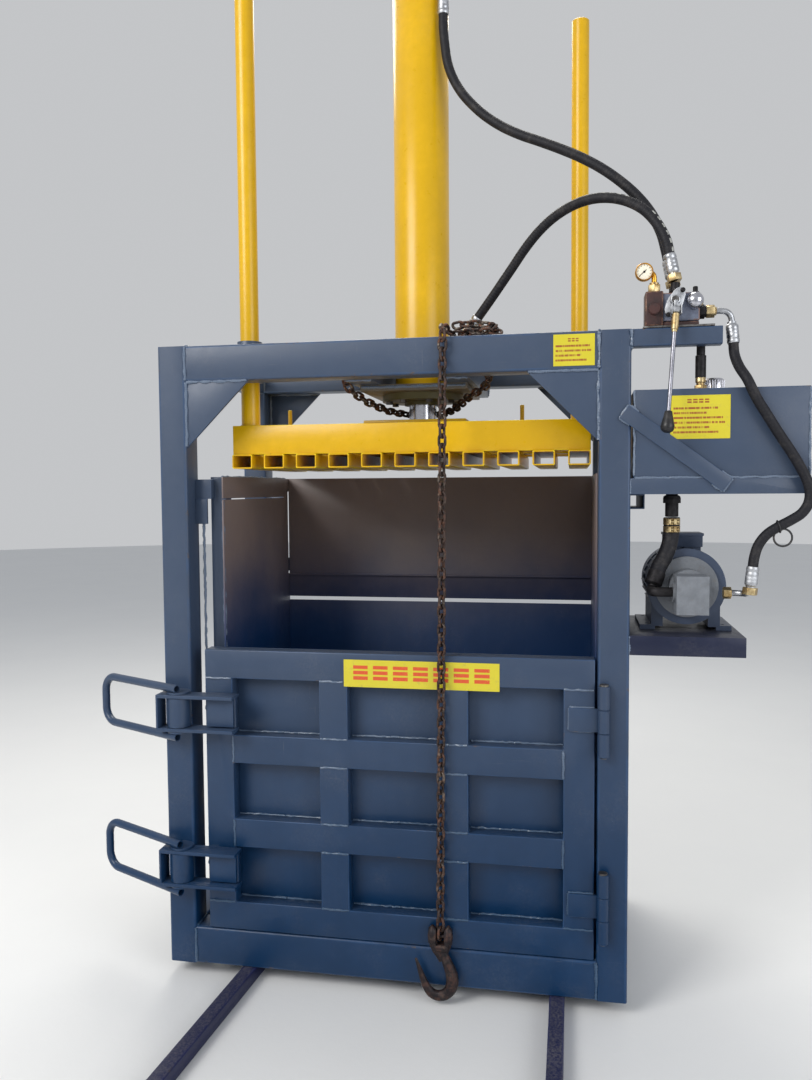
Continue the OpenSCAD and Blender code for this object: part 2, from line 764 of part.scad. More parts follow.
// Three channels across the platen, the pad under the rod, and two threaded studs
module platen_channels() {
    pad = [336, 350];
    stud_xs = [-467, 345];
    color(yellow) placed() {
        for (y = channel_ys) translate([chamber_mid - platen_w/2, y, tubes_top]) difference() {
            cube([platen_w, channel_w, channel_h]);
            translate([-1, channel_t, channel_t]) cube([platen_w + 2, channel_w, channel_h - 2*channel_t]);
        }
        translate([cyl_x, cyl_y, channels_top]) block([-pad[0]/2, -pad[1]/2, 0], [pad[0]/2, pad[1]/2,
            pad_t]);
        for (x = stud_xs) translate([chamber_mid + x, cyl_y, channels_top]) {
            cylinder(h = 7, d = 34, $fn = 6);
            cylinder(h = 72, d = 14);
        }
    }
}

module platen_tubes() {
    step = (platen_w - platen_tube_w)/(platen_tubes_n - 1);
    color(yellow) placed() for (k = [0:platen_tubes_n - 1]) translate([chamber_mid - platen_w/2 + k*step, platen_y0, platen_z])
        tube([0, 0, 0], [platen_tube_w, platen_d, platen_tube_h], 4, 1);
}

module guide_tubes() {
    color(yellow) placed() for (g = [[-guide_x, guide_front_y], [guide_x, guide_rear_y]])
        translate([cyl_x + g[0], g[1], channels_top]) difference() {
            cylinder(h = guide_top - channels_top, d = guide_d);
            translate([0, 0, -1]) cylinder(h = guide_top - channels_top - 5, d = guide_d - 10);
        }
}

module tank() {
    color(blue) placed() difference() {
        block([tank_x0, tank_y0, tank_z0], [tank_right, tank_y0 + tank_d, tank_z0 + tank_h]);
        block([tank_x0 + tank_t, tank_y0 + tank_t, tank_z0 + tank_t],
            [tank_right - tank_t, tank_y0 + tank_d - tank_t, tank_z0 + tank_h - tank_t]);
        translate([filler[0], filler[1], tank_z0 + tank_h - 20]) cylinder(h = 30, d = neck_d);
        translate([suction_route[0][0], suction_route[0][1], tank_z0 - 1]) cylinder(h = 20, d = 34);
    }
}

// Rails from the right posts that carry the tank, and the brace over the front one
module tank_supports() {
    brace_w = 44;
    brace_t = 10;
    arm_h = 90;
    start = [half_w - 20, 1782];
    end = [half_w + 262, 1572];
    v = end - start;
    color(blue) placed() {
        for (y = [0, tank_d - tank_rail_s])
            tube([half_w, y, tank_rail_z], [tank_right, y + tank_rail_s, tank_z0], 4, 0);
        tube([half_w, post_s, tank_rail_z - arm_h + tank_rail_s], [half_w + tank_rail_s, tank_d,
            tank_rail_z], 4, 1);
        translate([start[0], 0, start[1]]) rotate([90, 0, 0]) rotate([0, 0, atan2(v[1], v[0])])
            linear_extrude(brace_t) translate([0, -brace_w/2]) square([norm(v), brace_w]);
    }
}

// Filler neck, suction outlet and return inlet of the tank
module tank_fittings() {
    z1 = tank_z0 + tank_h;
    s = suction_route[0];
    color(steel) placed() translate([filler[0], filler[1], z1]) difference() {
        union() {
            cylinder(h = 8, d = neck_d + 22);
            translate([0, 0, -15]) cylinder(h = 15, d = neck_d - 2*run);
            cylinder(h = 22, d = neck_d);
        }
        translate([0, 0, -16]) cylinder(h = 60, d = neck_d - 8);
    }
    color(black) placed() difference() {
        union() {
            translate([s[0], s[1], s[2] + 20]) cylinder(h = tank_z0 - s[2] - 20, d = 34 - 2*run);
            translate([s[0], s[1], s[2] + 42]) cylinder(h = 16, d = 54, $fn = 6);
            translate([s[0], s[1], s[2]]) cylinder(h = 24, d = 38);
            translate([s[0], s[1], tank_z0 - 12]) cylinder(h = 12, d = 46);
        }
        translate([s[0], s[1], s[2] - 1]) cylinder(h = tank_z0, d = 24);
    }
    color(brass) placed() translate([valve_x0 + 161, 70, z1]) {
        cylinder(h = 14, d = 30, $fn = 6);
        translate([0, 0, 14]) cylinder(h = 22, d = 22);
    }
    color(black) placed() translate([valve_x0 + 161, 70, z1 + 36]) {
        cylinder(h = 60, d = 30);
        translate([0, 0, 60]) cylinder(h = valve_base_z - 6 - z1 - 96, d = 24);
    }
}

module tank_cap() {
    color(steel) placed() translate([filler[0], filler[1], tank_z0 + tank_h + 8 + air]) difference() {
        union() {
            cylinder(h = 30, d = cap_d);
            translate([0, 0, 30]) cylinder(h = 4, d = cap_d - 10);
        }
        translate([0, 0, -1]) cylinder(h = 19, d = neck_d + 2*run);
    }
}

module motor_shelf() {
    y1 = motor_y0 + motor_l + 60;
    color(deep_blue) placed() difference() {
        block([half_w, 0, shelf_z - shelf_h], [shelf_x1, y1, shelf_z]);
        block([half_w - 1, 6, shelf_z - shelf_h - 1], [shelf_x1 + 1, y1 - 6, shelf_z - 6]);
        for (x = [-110, 110], y = [45, motor_l - 45])
            translate([motor_x + x, motor_y0 + y, shelf_z - 20]) cylinder(h = 30, d = 12);
    }
}

// Finned motor housing with its feet
module motor_housing() {
    fins = 28;
    fin_t = 3.4;
    foot_w = 44;
    foot_x = 110;
    color(motor_grey) placed() translate([motor_x, motor_y0, motor_z]) difference() {
        union() {
            rotate([-90, 0, 0]) cylinder(h = motor_l, d = core_d);
            translate([0, motor_l - 20, 0]) rotate([90, 0, 0]) linear_extrude(motor_l - 40)
                finned(fins, fin_t);
            rotate([-90, 0, 0]) cylinder(h = 18, d = motor_d);
            for (s = [-1, 1]) translate([s*foot_x, 0, 0])
                block([-foot_w/2, 15, -motor_axis_h], [foot_w/2, motor_l - 15, -motor_axis_h + 14]);
            for (s = [-1, 1]) translate([s*82, 0, 0])
                block([-17, 16, -motor_axis_h + 10], [17, motor_l - 16, -50]);
            block([-50, box_y + 5, core_d/2 - 12], [50, box_y + box_l - 5, motor_d/2]);
        }
        rotate([-90, 0, 0]) translate([0, 0, 14]) cylinder(h = motor_l, d = core_d - 24);
        rotate([-90, 0, 0]) translate([0, 0, -1]) cylinder(h = 40, d = 50);
        for (x = [-foot_x, foot_x], y = [45, motor_l - 45])
            translate([x, y, -motor_axis_h - 1]) cylinder(h = 40, d = 12);
    }
    color(steel) placed() translate([motor_x, motor_y0 + 50, motor_z]) rotate([-90, 0, 0]) difference() {
        cylinder(h = motor_l - 100, d = core_d - 24);
        translate([0, 0, -1]) cylinder(h = motor_l, d = 122);
    }
}

// Section of the housing's fins: one strip for each pair of opposite fins
module finned(n, t) {
    for (k = [0:n/2 - 1]) rotate(k*360/n) translate([-motor_d/2, -t/2]) square([motor_d, t]);
}

module fan_cover() {
    slots = 12;
    lap = 12;
    cover_l = 55;
    inner_d = core_d + 0.6;
    color(motor_grey) placed() translate([motor_x, motor_y0 + motor_l, motor_z]) difference() {
        translate([0, -lap, 0]) rotate([-90, 0, 0]) cylinder(h = lap + cover_l, d = inner_d + 6);
        translate([0, -lap - 1, 0]) rotate([-90, 0, 0]) cylinder(h = lap + cover_l - 1, d = inner_d);
        for (a = [0:360/slots:359]) rotate([0, a, 0])
            block([-5, cover_l - 15, 30], [5, cover_l + 15, motor_d/2 - 25]);
    }
}

module terminal_box() {
    lid_l = box_l + 6;
    color(motor_grey) placed() translate([motor_x, motor_y0 + box_y, motor_z + motor_d/2]) {
        block([-55, 0, 0], [55, box_l, 34]);
        block([-58, -3, 34], [58, lid_l - 3, 42]);
    }
}

// Bell housing and gear pump in front of the motor
module pump_body() {
    pump_w = 88;
    color(steel) placed() translate([motor_x, 0, motor_z]) difference() {
        union() {
            translate([0, motor_y0, 0]) rotate([90, 0, 0]) cylinder(h = 12, d = 180);
            translate([0, motor_y0, 0]) rotate([90, 0, 0]) cylinder(h = motor_y0 - bell_y0, d = 110);
            block([-pump_w/2, pump_y0, -gear_gap/2 - pump_w/2], [pump_w/2, bell_y0, pump_w/2]);
            translate([-pump_w/2 - 6, 20, -6]) rotate([0, 90, 0]) cylinder(h = 6, d = 56);
            translate([pump_w/2, 20, -6]) rotate([0, 90, 0]) cylinder(h = 6, d = 48);
        }
        for (z = [0, -gear_gap]) translate([0, gear_y0 + gear_w + air, z]) rotate([90, 0, 0])
            cylinder(h = gear_w + 2*air, r = pitch_r + gear_m + 0.3);
        translate([0, motor_y0 + 1, 0]) rotate([90, 0, 0]) cylinder(h = motor_y0 - pump_y0 - 8,
            d = shaft_d + 2*run);
        translate([0, motor_y0 + 1, 0]) rotate([90, 0, 0]) cylinder(h = motor_y0 - bell_y0 - 8, d = 80);
        translate([0, bell_y0 - 12, -gear_gap]) rotate([90, 0, 0])
            cylinder(h = bell_y0 - 12 - pump_y0 - 8, d = shaft_d + 2*run);
        translate([-pump_w, 20, -6]) rotate([0, 90, 0]) cylinder(h = pump_w, d = 20);
        translate([0, 20, -6]) rotate([0, 90, 0]) cylinder(h = pump_w, d = 14);
    }
}

// Involute tooth flank: points from the base circle out, then mirrored about the tooth's middle
press = 25;
backlash = 0.12;
base_r = pitch_r*cos(press);
tip_r = pitch_r + gear_m*0.92;
root_r = pitch_r - gear_m*1.12;
function involute_turn(r) = let(a = acos(base_r/r)) tan(a)*180/PI - a;
half_tooth = 90/gear_n - backlash/2/pitch_r*180/PI;
function flank(r) = half_tooth + involute_turn(pitch_r) - involute_turn(r);
flank_steps = 6;
flank_rs = [for (i = [0:flank_steps]) max(base_r, root_r + 0.4) + (tip_r - max(base_r,
    root_r + 0.4))*i/flank_steps];
function polar(r, a) = [r*cos(a), r*sin(a)];
module pump_gear(turn) {
    outline = [for (k = [0:gear_n - 1]) let(c = turn + k*360/gear_n) each concat(
        [polar(root_r, c - flank(flank_rs[0]) - 1)],
        [for (r = flank_rs) polar(r, c - flank(r))],
        [for (i = [flank_steps:-1:0]) polar(flank_rs[i], c + flank(flank_rs[i]))],
        [polar(root_r, c + flank(flank_rs[0]) + 1)])];
    linear_extrude(gear_w) polygon(outline);
}

// Motor shaft with its rotor core, fan and the pump's driving gear
module motor_rotor() {
    color(steel) placed() translate([motor_x, 0, motor_z]) {
        translate([0, pump_y0 + 12, 0]) rotate([-90, 0, 0])
            cylinder(h = motor_y0 + motor_l + 40 - pump_y0 - 12, d = shaft_d);
        translate([0, motor_y0 + 60, 0]) rotate([-90, 0, 0]) cylinder(h = motor_l - 110, d = 120);
        translate([0, bell_y0 + 12, 0]) rotate([-90, 0, 0]) cylinder(h = 36, d = 60);
        translate([0, gear_y0 + gear_w, 0]) rotate([90, 0, 0]) pump_gear(0);
        for (a = [0:45:359]) rotate([0, a, 0]) block([-2, motor_y0 + motor_l + 8, 6], [2,
            motor_y0 + motor_l + 36, 80]);
        translate([0, motor_y0 + motor_l + 8, 0]) rotate([-90, 0, 0]) cylinder(h = 28, d = 36);
    }
}

module idler_gear() {
    color(steel) placed() translate([motor_x, 0, motor_z - gear_gap]) {
        translate([0, gear_y0 + gear_w, 0]) rotate([90, 0, 0]) pump_gear(180/gear_n);
        translate([0, pump_y0 + 12, 0]) rotate([-90, 0, 0]) cylinder(h = 60, d = shaft_d);
    }
}

module valve_bracket() {
    color(blue) placed() tube([half_w, 0, top_z - bracket_s], [half_w + 246, bracket_s, top_z], 4, 0);
}

// Cast valve body with the relief tower at its left, its base plate and the spool's bore
module valve_body() {
    tower_w = 51;
    color(maroon) placed() translate([valve_x0, 0, valve_base_z]) difference() {
        union() {
            block([0, valve_y0, 0], [tower_w, valve_y0 + 70, 98]);
            block([tower_w, valve_y0 + 8, 8], [tower_w + 61, valve_y0 + 142, 100]);
            block([-6, valve_y0 - 2, -6], [190, valve_y0 + 90, 0]);
            block([tower_w, valve_y0 + 8, 0], [150, valve_y0 + 80, 8]);
        }
        translate([lever_x - valve_x0, valve_y0, spool_z - valve_base_z]) rotate([-90, 0, 0])
            cylinder(h = 134, d = spool_d + 2*run);
    }
}

// Zinc-plated front cover with the lever's ears, the spring dome and the outlet block
module valve_cover() {
    ear_t = 3;
    ear_in = 11.5;
    ear_y = lever_y - 12;
    x = lever_x - valve_x0;
    color(steel) placed() translate([valve_x0, 0, valve_base_z]) {
        difference() {
            translate([0, valve_y0 + 8, 0]) linear_extrude_y(14, [[52, 40], [60, 26], [76, 22], [96,
                30], [110, 78], [108, 100],
                [96, 106], [80, 98], [58, 78]]);
            translate([x, -20, spool_z - valve_base_z]) rotate([-90, 0, 0]) cylinder(h = 60,
                d = spool_d + 2);
        }
        difference() {
            for (s = [-1, 1]) translate([x + s*(ear_in + ear_t/2), 0, 0])
                block([-ear_t/2, ear_y, 26], [ear_t/2, valve_y0 - 6, 50]);
            translate([0, lever_y, lever_z - valve_base_z]) rotate([0, 90, 0]) cylinder(h = 200,
                d = 8 + 2*run);
        }
        block([112, valve_y0 + 20, 8], [150, valve_y0 + 76, 92]);
        translate([136, valve_y0 + 20, 66]) rotate([90, 0, 0]) cylinder(h = 16, d = 46);
        translate([136, valve_y0 + 6, 66]) sphere(d = 44);
        translate([140, valve_y0 + 44, 92]) cylinder(h = 28, d = 14);
        translate([150, valve_y0 + 34, 40]) rotate([0, 90, 0]) cylinder(h = 18, d = 34, $fn = 6);
    }
}

// A plate of thickness t that stands in the XZ plane, from an outline of x and z
module linear_extrude_y(t, outline) {
    rotate([90, 0, 0]) linear_extrude(t) polygon(outline);
}

// Spool that the lever pushes and pulls through the valve body
module valve_spool() {
    color(steel) placed() translate([lever_x, -18, spool_z]) rotate([-90, 0, 0]) difference() {
        cylinder(h = 140, d = spool_d);
        for (z = [50, 78, 106]) translate([0, 0, z]) difference() {
            cylinder(h = 12, d = spool_d + 2);
            translate([0, 0, -1]) cylinder(h = 14, d = spool_d - 6);
        }
    }
}

// Lever with its pin, its arm to the spool, rod and knob, hanging in front of the valve
module valve_lever() {
    rod_l = 300;
    lean = [-10, 4.5, 0];
    knob_l = 60;
    color(steel) placed() translate([lever_x, lever_y, lever_z]) {
        rotate([0, 90, 0]) translate([0, 0, -16]) cylinder(h = 32, d = 8);
        rotate([0, 90, 0]) translate([0, 0, -9]) cylinder(h = 18, d = 22);
        block([-6, -5, 0], [6, 5, 38]);
        rotate(lean) {
            translate([0, 0, -rod_l]) cylinder(h = rod_l, d = 12);
            translate([0, 0, -56]) cylinder(h = 42, d = 20);
        }
    }
    color(black) placed() translate([lever_x, lever_y, lever_z]) rotate(lean)
        translate([0, 0, -rod_l - knob_l + 10]) rotate_extrude()
            polygon([[0, 0], [9, 1], [15, 5], [18, 11], [19, 18], [11, knob_l], [0, knob_l]]);
}

// Pressure gauge on its elbow over the left end of the valve
module gauge() {
    x = valve_x0 + 27;
    color(brass) placed() {
        translate([x, valve_y0 + 34, valve_base_z + 98]) cylinder(h = 24, d = 32, $fn = 6);
        translate([x, valve_y0 + 34, valve_base_z + 122]) cylinder(h = 34, d = 20);
        bar([x, valve_y0 + 34, valve_base_z + 146], [x - 28, valve_y0 + 34, valve_base_z + 157], 16);
        translate([x - 28, valve_y0 + 44, valve_base_z + 157]) rotate([90, 0, 0]) cylinder(h = 30, d = 50);
    }
}

// Thin yellow plates on the top beam and the tank, and one on the door
label_t = 1.2;
module frame_labels() {
    color(yellow) placed() {
        block([500, -label_t, top_z - 100], [619, 0, top_z - 8]);
        block([826, tank_y0 - label_t, tank_z0 + 108], [990, tank_y0, tank_z0 + 232]);
    }
}

module door_label() {
    color(yellow) placed() block([-131, door_face - label_t, door_z1 - 104], [347, door_face,
        door_z1 - 18]);
}

module upper_hose() { color(black) placed() hose(upper_route, upper_hose_d); }
module lower_hose() { color(black) placed() hose(lower_route, lower_hose_d); }
module pressure_hose() { color(black) placed() hose(pressure_route, pressure_hose_d); }
module suction_hose() { color(black) placed() hose(suction_route, suction_hose_d); }

// A crimped ferrule and hexagon at a hose end, from the hose out to what it screws into
module hose_end(tip, out, d) {
    bar(tip, tip + ferrule_l*out, d + 6);
    hex_bar(tip + ferrule_l*out, tip + (ferrule_l + hex_l)*out, d + 4);
}

function past(route, i, l, way) = route[i] + way*l*heading(route, i);

module hose_fittings() {
    end_l = ferrule_l + hex_l;
    last = [len(upper_route) - 1, len(lower_route) - 1, len(pressure_route) - 1, len(suction_route) - 1];
    a = past(upper_route, 0, end_l, -1);
    b = past(upper_route, last[0], end_l, 1);
    c = past(lower_route, 0, end_l, -1);
    d = past(lower_route, last[1], end_l, 1);
    e = past(pressure_route, 0, end_l, -1);
    f = past(pressure_route, last[2], end_l, 1);
    g = past(suction_route, last[3], 50, 1);
    port_r = barrel_d/2 + port_l;
    valve_top = valve_base_z + 100;
    outlet_z = valve_base_z + 40;
    pump_z = motor_z - 6;
    color(steel) placed() {
        hose_end(upper_route[0], -heading(upper_route, 0), upper_hose_d);
        bar(a, [a[0], a[1], top_port_z + 13], 22);
        bar([cyl_x, cyl_y, top_port_z] + port_r*top_port_dir, [a[0], a[1], top_port_z], 26);
        hose_end(upper_route[last[0]], heading(upper_route, last[0]), upper_hose_d);
        bar(b, [b[0], b[1], valve_top], 26);
        hose_end(lower_route[0], -heading(lower_route, 0), lower_hose_d);
        bar(c, [c[0], c[1], base_port_z], 24);
        bar([cyl_x, cyl_y, base_port_z] + port_r*base_port_dir, [c[0], c[1],
            base_port_z] + 8*base_port_dir, 26);
        hose_end(lower_route[last[1]], heading(lower_route, last[1]), lower_hose_d);
        bar(d, [d[0], d[1], valve_top], 26);
        hose_end(pressure_route[0], -heading(pressure_route, 0), pressure_hose_d);
        bar(e, [e[0], e[1], outlet_z + 10], 24);
        bar([valve_x0 + 168, valve_y0 + 34, outlet_z], [e[0] + 8, valve_y0 + 34, outlet_z], 22);
        hose_end(pressure_route[last[2]], heading(pressure_route, last[2]), pressure_hose_d);
        bar(f, [f[0], 22, pump_z], 22);
        bar([motor_x + 50, 20, pump_z], [f[0] + 6, 20, pump_z], 24);
        bar(suction_route[last[3]], g, suction_hose_d + 4);
        bar([g[0] - 4, g[1] + 4, g[2] + 14], [g[0] + 4, 20, pump_z], 30);
        bar([g[0] - 8, 20, pump_z], [motor_x - 50, 20, pump_z], 28);
    }
}

// One chain link: a round-bar stadium that stands along Z and faces Y
module link() {
    r = chain_w/2 - chain_wire/2;
    slack = 0.4;
    straight = chain_pitch + 2*chain_wire + slack - chain_w;
    for (s = [-1, 1]) {
        translate([s*r, 0, -straight/2]) cylinder(h = straight, d = chain_wire, $fn = 20);
        translate([0, 0, s*straight/2]) rotate([90, 0, 0]) rotate([0, 0, s > 0 ? 0 : 180])
            rotate_extrude(angle = 180, $fn = 20) translate([r, 0]) circle(d = chain_wire, $fn = 20);
    }
}

// The next point of a route that lies one straight pitch from p, with the segment that it is on
function next_joint(p, route, i) = let(a = route[i], d = route[i + 1] - a, f = a - p, fd = f*d,
    root = fd*fd - d*d*(f*f - chain_pitch*chain_pitch), t = root < 0 ? -1 : (sqrt(root) - fd)/(d*d))
    t >= 0 && t <= 1 ? [a + t*d, i] : i >= len(route) - 2 ? [] : next_joint(p, route, i + 1);

// The points where the links of a chain along a route meet
function joints_on(route, p, i = 0) = let(next = next_joint(p, route, i))
    len(next) == 0 ? [p] : concat([p], joints_on(route, next[0], next[1]));
function link_joints(route) = joints_on(route, route[0]);

// The links of a route from the first to the last that are named, each turned a quarter from the last
module chain_along(route, first, last) {
    joints = link_joints(route);
    for (k = [first:min(last, len(joints) - 2)]) {
        v = joints[k + 1] - joints[k];
        translate(joints[k] + v/2) rotate([0, acos(v[2]/norm(v)), atan2(v[1], v[0])])
            rotate([0, 0, 45 + (k % 2)*90]) link();
    }
}

module chain_hanging() {
    color(rust) placed() chain_along(hang_route, links_on_beam, max_links);
}

module chain_rest() {
    color(rust) placed() {
        chain_along(hang_route, 0, links_on_beam - 1);
        chain_along(heap_route, 0, max_links);
        chain_along(sling_route, 0, max_links);
    }
}

// Forged hook with two cheeks and the pin that the last link hangs on
module hook() {
    joints = link_joints(hang_route);
    pin = joints[len(joints) - 1] + [0, 0, hook_pin_d/2 + 0.3];
    cheek_x = 19.5;
    cheek_t = 14;
    color(rust) placed() {
        translate(pin) {
            swept(hook_route, hook_ds);
            rotate([0, 90, 0]) translate([0, 0, -cheek_x - cheek_t/2 - 3])
                cylinder(h = 2*cheek_x + cheek_t + 6, d = hook_pin_d);
            for (s = [-1, 1]) translate([s*cheek_x, 0, 0]) {
                rotate([0, 90, 0]) translate([0, 0, -cheek_t/2]) cylinder(h = cheek_t, d = 40);
                block([-cheek_t/2, -14, -40], [cheek_t/2, 14, 0]);
            }
            block([-cheek_x, -13, -46], [cheek_x, 13, -24]);
        }
    }
}

skids();
posts();
top_beams();
base_beams();
gussets();
crosshead();
cylinder_plate();
barrel();
end_cap();
head_gland();
flange_bolts();
chamber_floor();
left_wall();
right_wall();
rear_wall();
chamber_frame();
hinge_knuckles();
hinge_pins();
latch_drums();
tank();
tank_supports();
tank_fittings();
motor_shelf();
motor_housing();
fan_cover();
terminal_box();
pump_body();
valve_bracket();
valve_body();
valve_cover();
gauge();
frame_labels();
upper_hose();
lower_hose();
pressure_hose();
suction_hose();
hose_fittings();
chain_hanging();
chain_rest();
hook();
piston();
piston_seals();
rod();
platen_channels();
platen_tubes();
guide_tubes();
door_grid();
door_skin();
hinge_leaves();
door_catches();
door_label();
upper_handle();
upper_loop();
lower_handle();
lower_loop();
valve_lever();
valve_spool();
tank_cap();
motor_rotor();
idler_gear();
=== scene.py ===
import bmesh
import bpy
import json
from math import atan2, cos, radians, sin, sqrt, tau
from mathutils import Matrix, Vector, noise


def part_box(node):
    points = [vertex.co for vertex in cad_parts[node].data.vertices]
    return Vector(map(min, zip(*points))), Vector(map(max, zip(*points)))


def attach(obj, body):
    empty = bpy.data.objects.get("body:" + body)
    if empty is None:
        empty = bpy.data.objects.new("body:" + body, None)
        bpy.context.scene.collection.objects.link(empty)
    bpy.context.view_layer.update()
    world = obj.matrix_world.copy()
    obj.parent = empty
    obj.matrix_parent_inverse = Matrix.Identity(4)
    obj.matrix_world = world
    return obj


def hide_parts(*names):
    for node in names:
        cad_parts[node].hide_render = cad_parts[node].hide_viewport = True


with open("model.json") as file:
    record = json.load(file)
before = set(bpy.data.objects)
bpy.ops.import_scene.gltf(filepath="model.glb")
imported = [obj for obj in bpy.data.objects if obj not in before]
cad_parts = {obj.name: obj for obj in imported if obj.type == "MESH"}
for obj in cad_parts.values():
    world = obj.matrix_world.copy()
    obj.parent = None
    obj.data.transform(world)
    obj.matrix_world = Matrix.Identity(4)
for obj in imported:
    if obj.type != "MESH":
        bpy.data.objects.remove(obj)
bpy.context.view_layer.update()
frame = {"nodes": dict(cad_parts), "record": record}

nodes = frame["nodes"]

# Places are given in millimetres from the middle of the portal's front face, at floor level
PORTAL_MIDDLE = Vector((105.72, 170.0, 0.0))
MM = 0.001
UP, FRONT, RIGHT = Vector((0, 0, 1)), Vector((0, -1, 0)), Vector((1, 0, 0))


def at(x, y, z):
    return (Vector((x, y, z)) - PORTAL_MIDDLE)*MM


# Finishes


class Socket:
    """A node's output that takes part in Python sums, each of which adds its Math node."""

    def __init__(self, finish, out):
        self.finish = finish
        self.out = out

    def __add__(self, other):
        return self.finish.maths("ADD", self, other)

    def __sub__(self, other):
        return self.finish.maths("SUBTRACT", self, other)

    def __rsub__(self, other):
        return self.finish.maths("SUBTRACT", other, self)

    def __mul__(self, other):
        return self.finish.maths("MULTIPLY", self, other)

    def __truediv__(self, other):
        return self.finish.maths("DIVIDE", self, other)

    __radd__ = __add__
    __rmul__ = __mul__

    def above(self, low, high):
        """0 under low, 1 over high, and a smooth step between them."""
        return self.finish.add("ShaderNodeMapRange", {"interpolation_type": "SMOOTHSTEP"},
                               {"Value": self, "From Min": low, "From Max": high})

    def fraction(self):
        """What is left over the whole number, so that a pattern starts again at each."""
        return self.finish.maths("FRACT", self)


class Finish:
    """A material built round one Principled shader, with patterns on Object coordinates."""

    def __init__(self, name, **settings):
        self.material = bpy.data.materials.new(name)
        self.material.use_nodes = True
        self.tree = self.material.node_tree
        self.shader = self.tree.nodes["Principled BSDF"]
        self.place = self.add("ShaderNodeTexCoord", {}, {}, "Object")
        self.put(**settings)

    def add(self, kind, settings, values, output=0):
        node = self.tree.nodes.new(kind)
        for key, value in settings.items():
            setattr(node, key, value)
        for key, value in values.items():
            self.feed(node.inputs[key], value)
        return Socket(self, node.outputs[output])

    def feed(self, socket, value):
        if isinstance(value, Socket):
            self.tree.links.new(value.out, socket)
        else:
            if socket.type == "RGBA" and len(value) == 3:
                value = (*value, 1.0)
            socket.default_value = value

    def put(self, **settings):
        for key, value in settings.items():
            self.feed(self.shader.inputs[key.replace("_", " ")], value)
        return self

    def maths(self, operation, *values):
        return self.add("ShaderNodeMath", {"operation": operation}, dict(enumerate(values)))

    def stretched(self, scale, turn=(0, 0, 0)):
        return self.add("ShaderNodeMapping", {}, {"Vector": self.place, "Scale": scale, "Rotation": turn})

    def cloud(self, scale, detail=4.0, rough=0.55, where=None, bend=0.0):
        return self.add("ShaderNodeTexNoise", {}, {
            "Vector": where or self.place, "Scale": scale, "Detail": detail, "Roughness": rough,
            "Distortion": bend})

    def cells(self, scale, feature="F1", where=None, output="Distance"):
        return self.add("ShaderNodeTexVoronoi", {"feature": feature},
                        {"Vector": where or self.place, "Scale": scale}, output)

    def mixed(self, mask, a, b):
        node = self.tree.nodes.new("ShaderNodeMix")
        node.data_type = "RGBA"
        for k, value in ((0, mask), (6, a), (7, b)):
            self.feed(node.inputs[k], value)
        return Socket(self, node.outputs[2])

    def axis(self, name, of=None):
        return self.add("ShaderNodeSeparateXYZ", {}, {0: of or self.place}, name)

    def facing(self, name):
        return self.axis(name, self.add("ShaderNodeNewGeometry", {}, {}, "Normal"))

    def edge(self):
        """1 on the narrow faces that round an edge off."""
        return self.add("ShaderNodeAttribute", {"attribute_name": "edge"}, {}, "Fac")

    def relief(self, *heights):
        """Bumps, each a height map with its depth in millimetres."""
        normal = None
        for height, depth in heights:
            values = {"Height": height, "Distance": depth*MM, "Strength": 1.0}
            if normal:
                values["Normal"] = normal
            normal = self.add("ShaderNodeBump", {}, values)
        return self.put(Normal=normal)


def srgb(r, g, b):
    """A colour as it looks on a screen, 0 to 255, in linear light."""
    def linear(c):
        c /= 255
        return c/12.92 if c < 0.04045 else ((c + 0.055)/1.055)**2.4
    return tuple(linear(c) for c in (r, g, b))


def toned(colour, factor, lift=0.0):
    return tuple(min(1.0, c*factor + lift) for c in colour)


DUST = srgb(136, 132, 126)


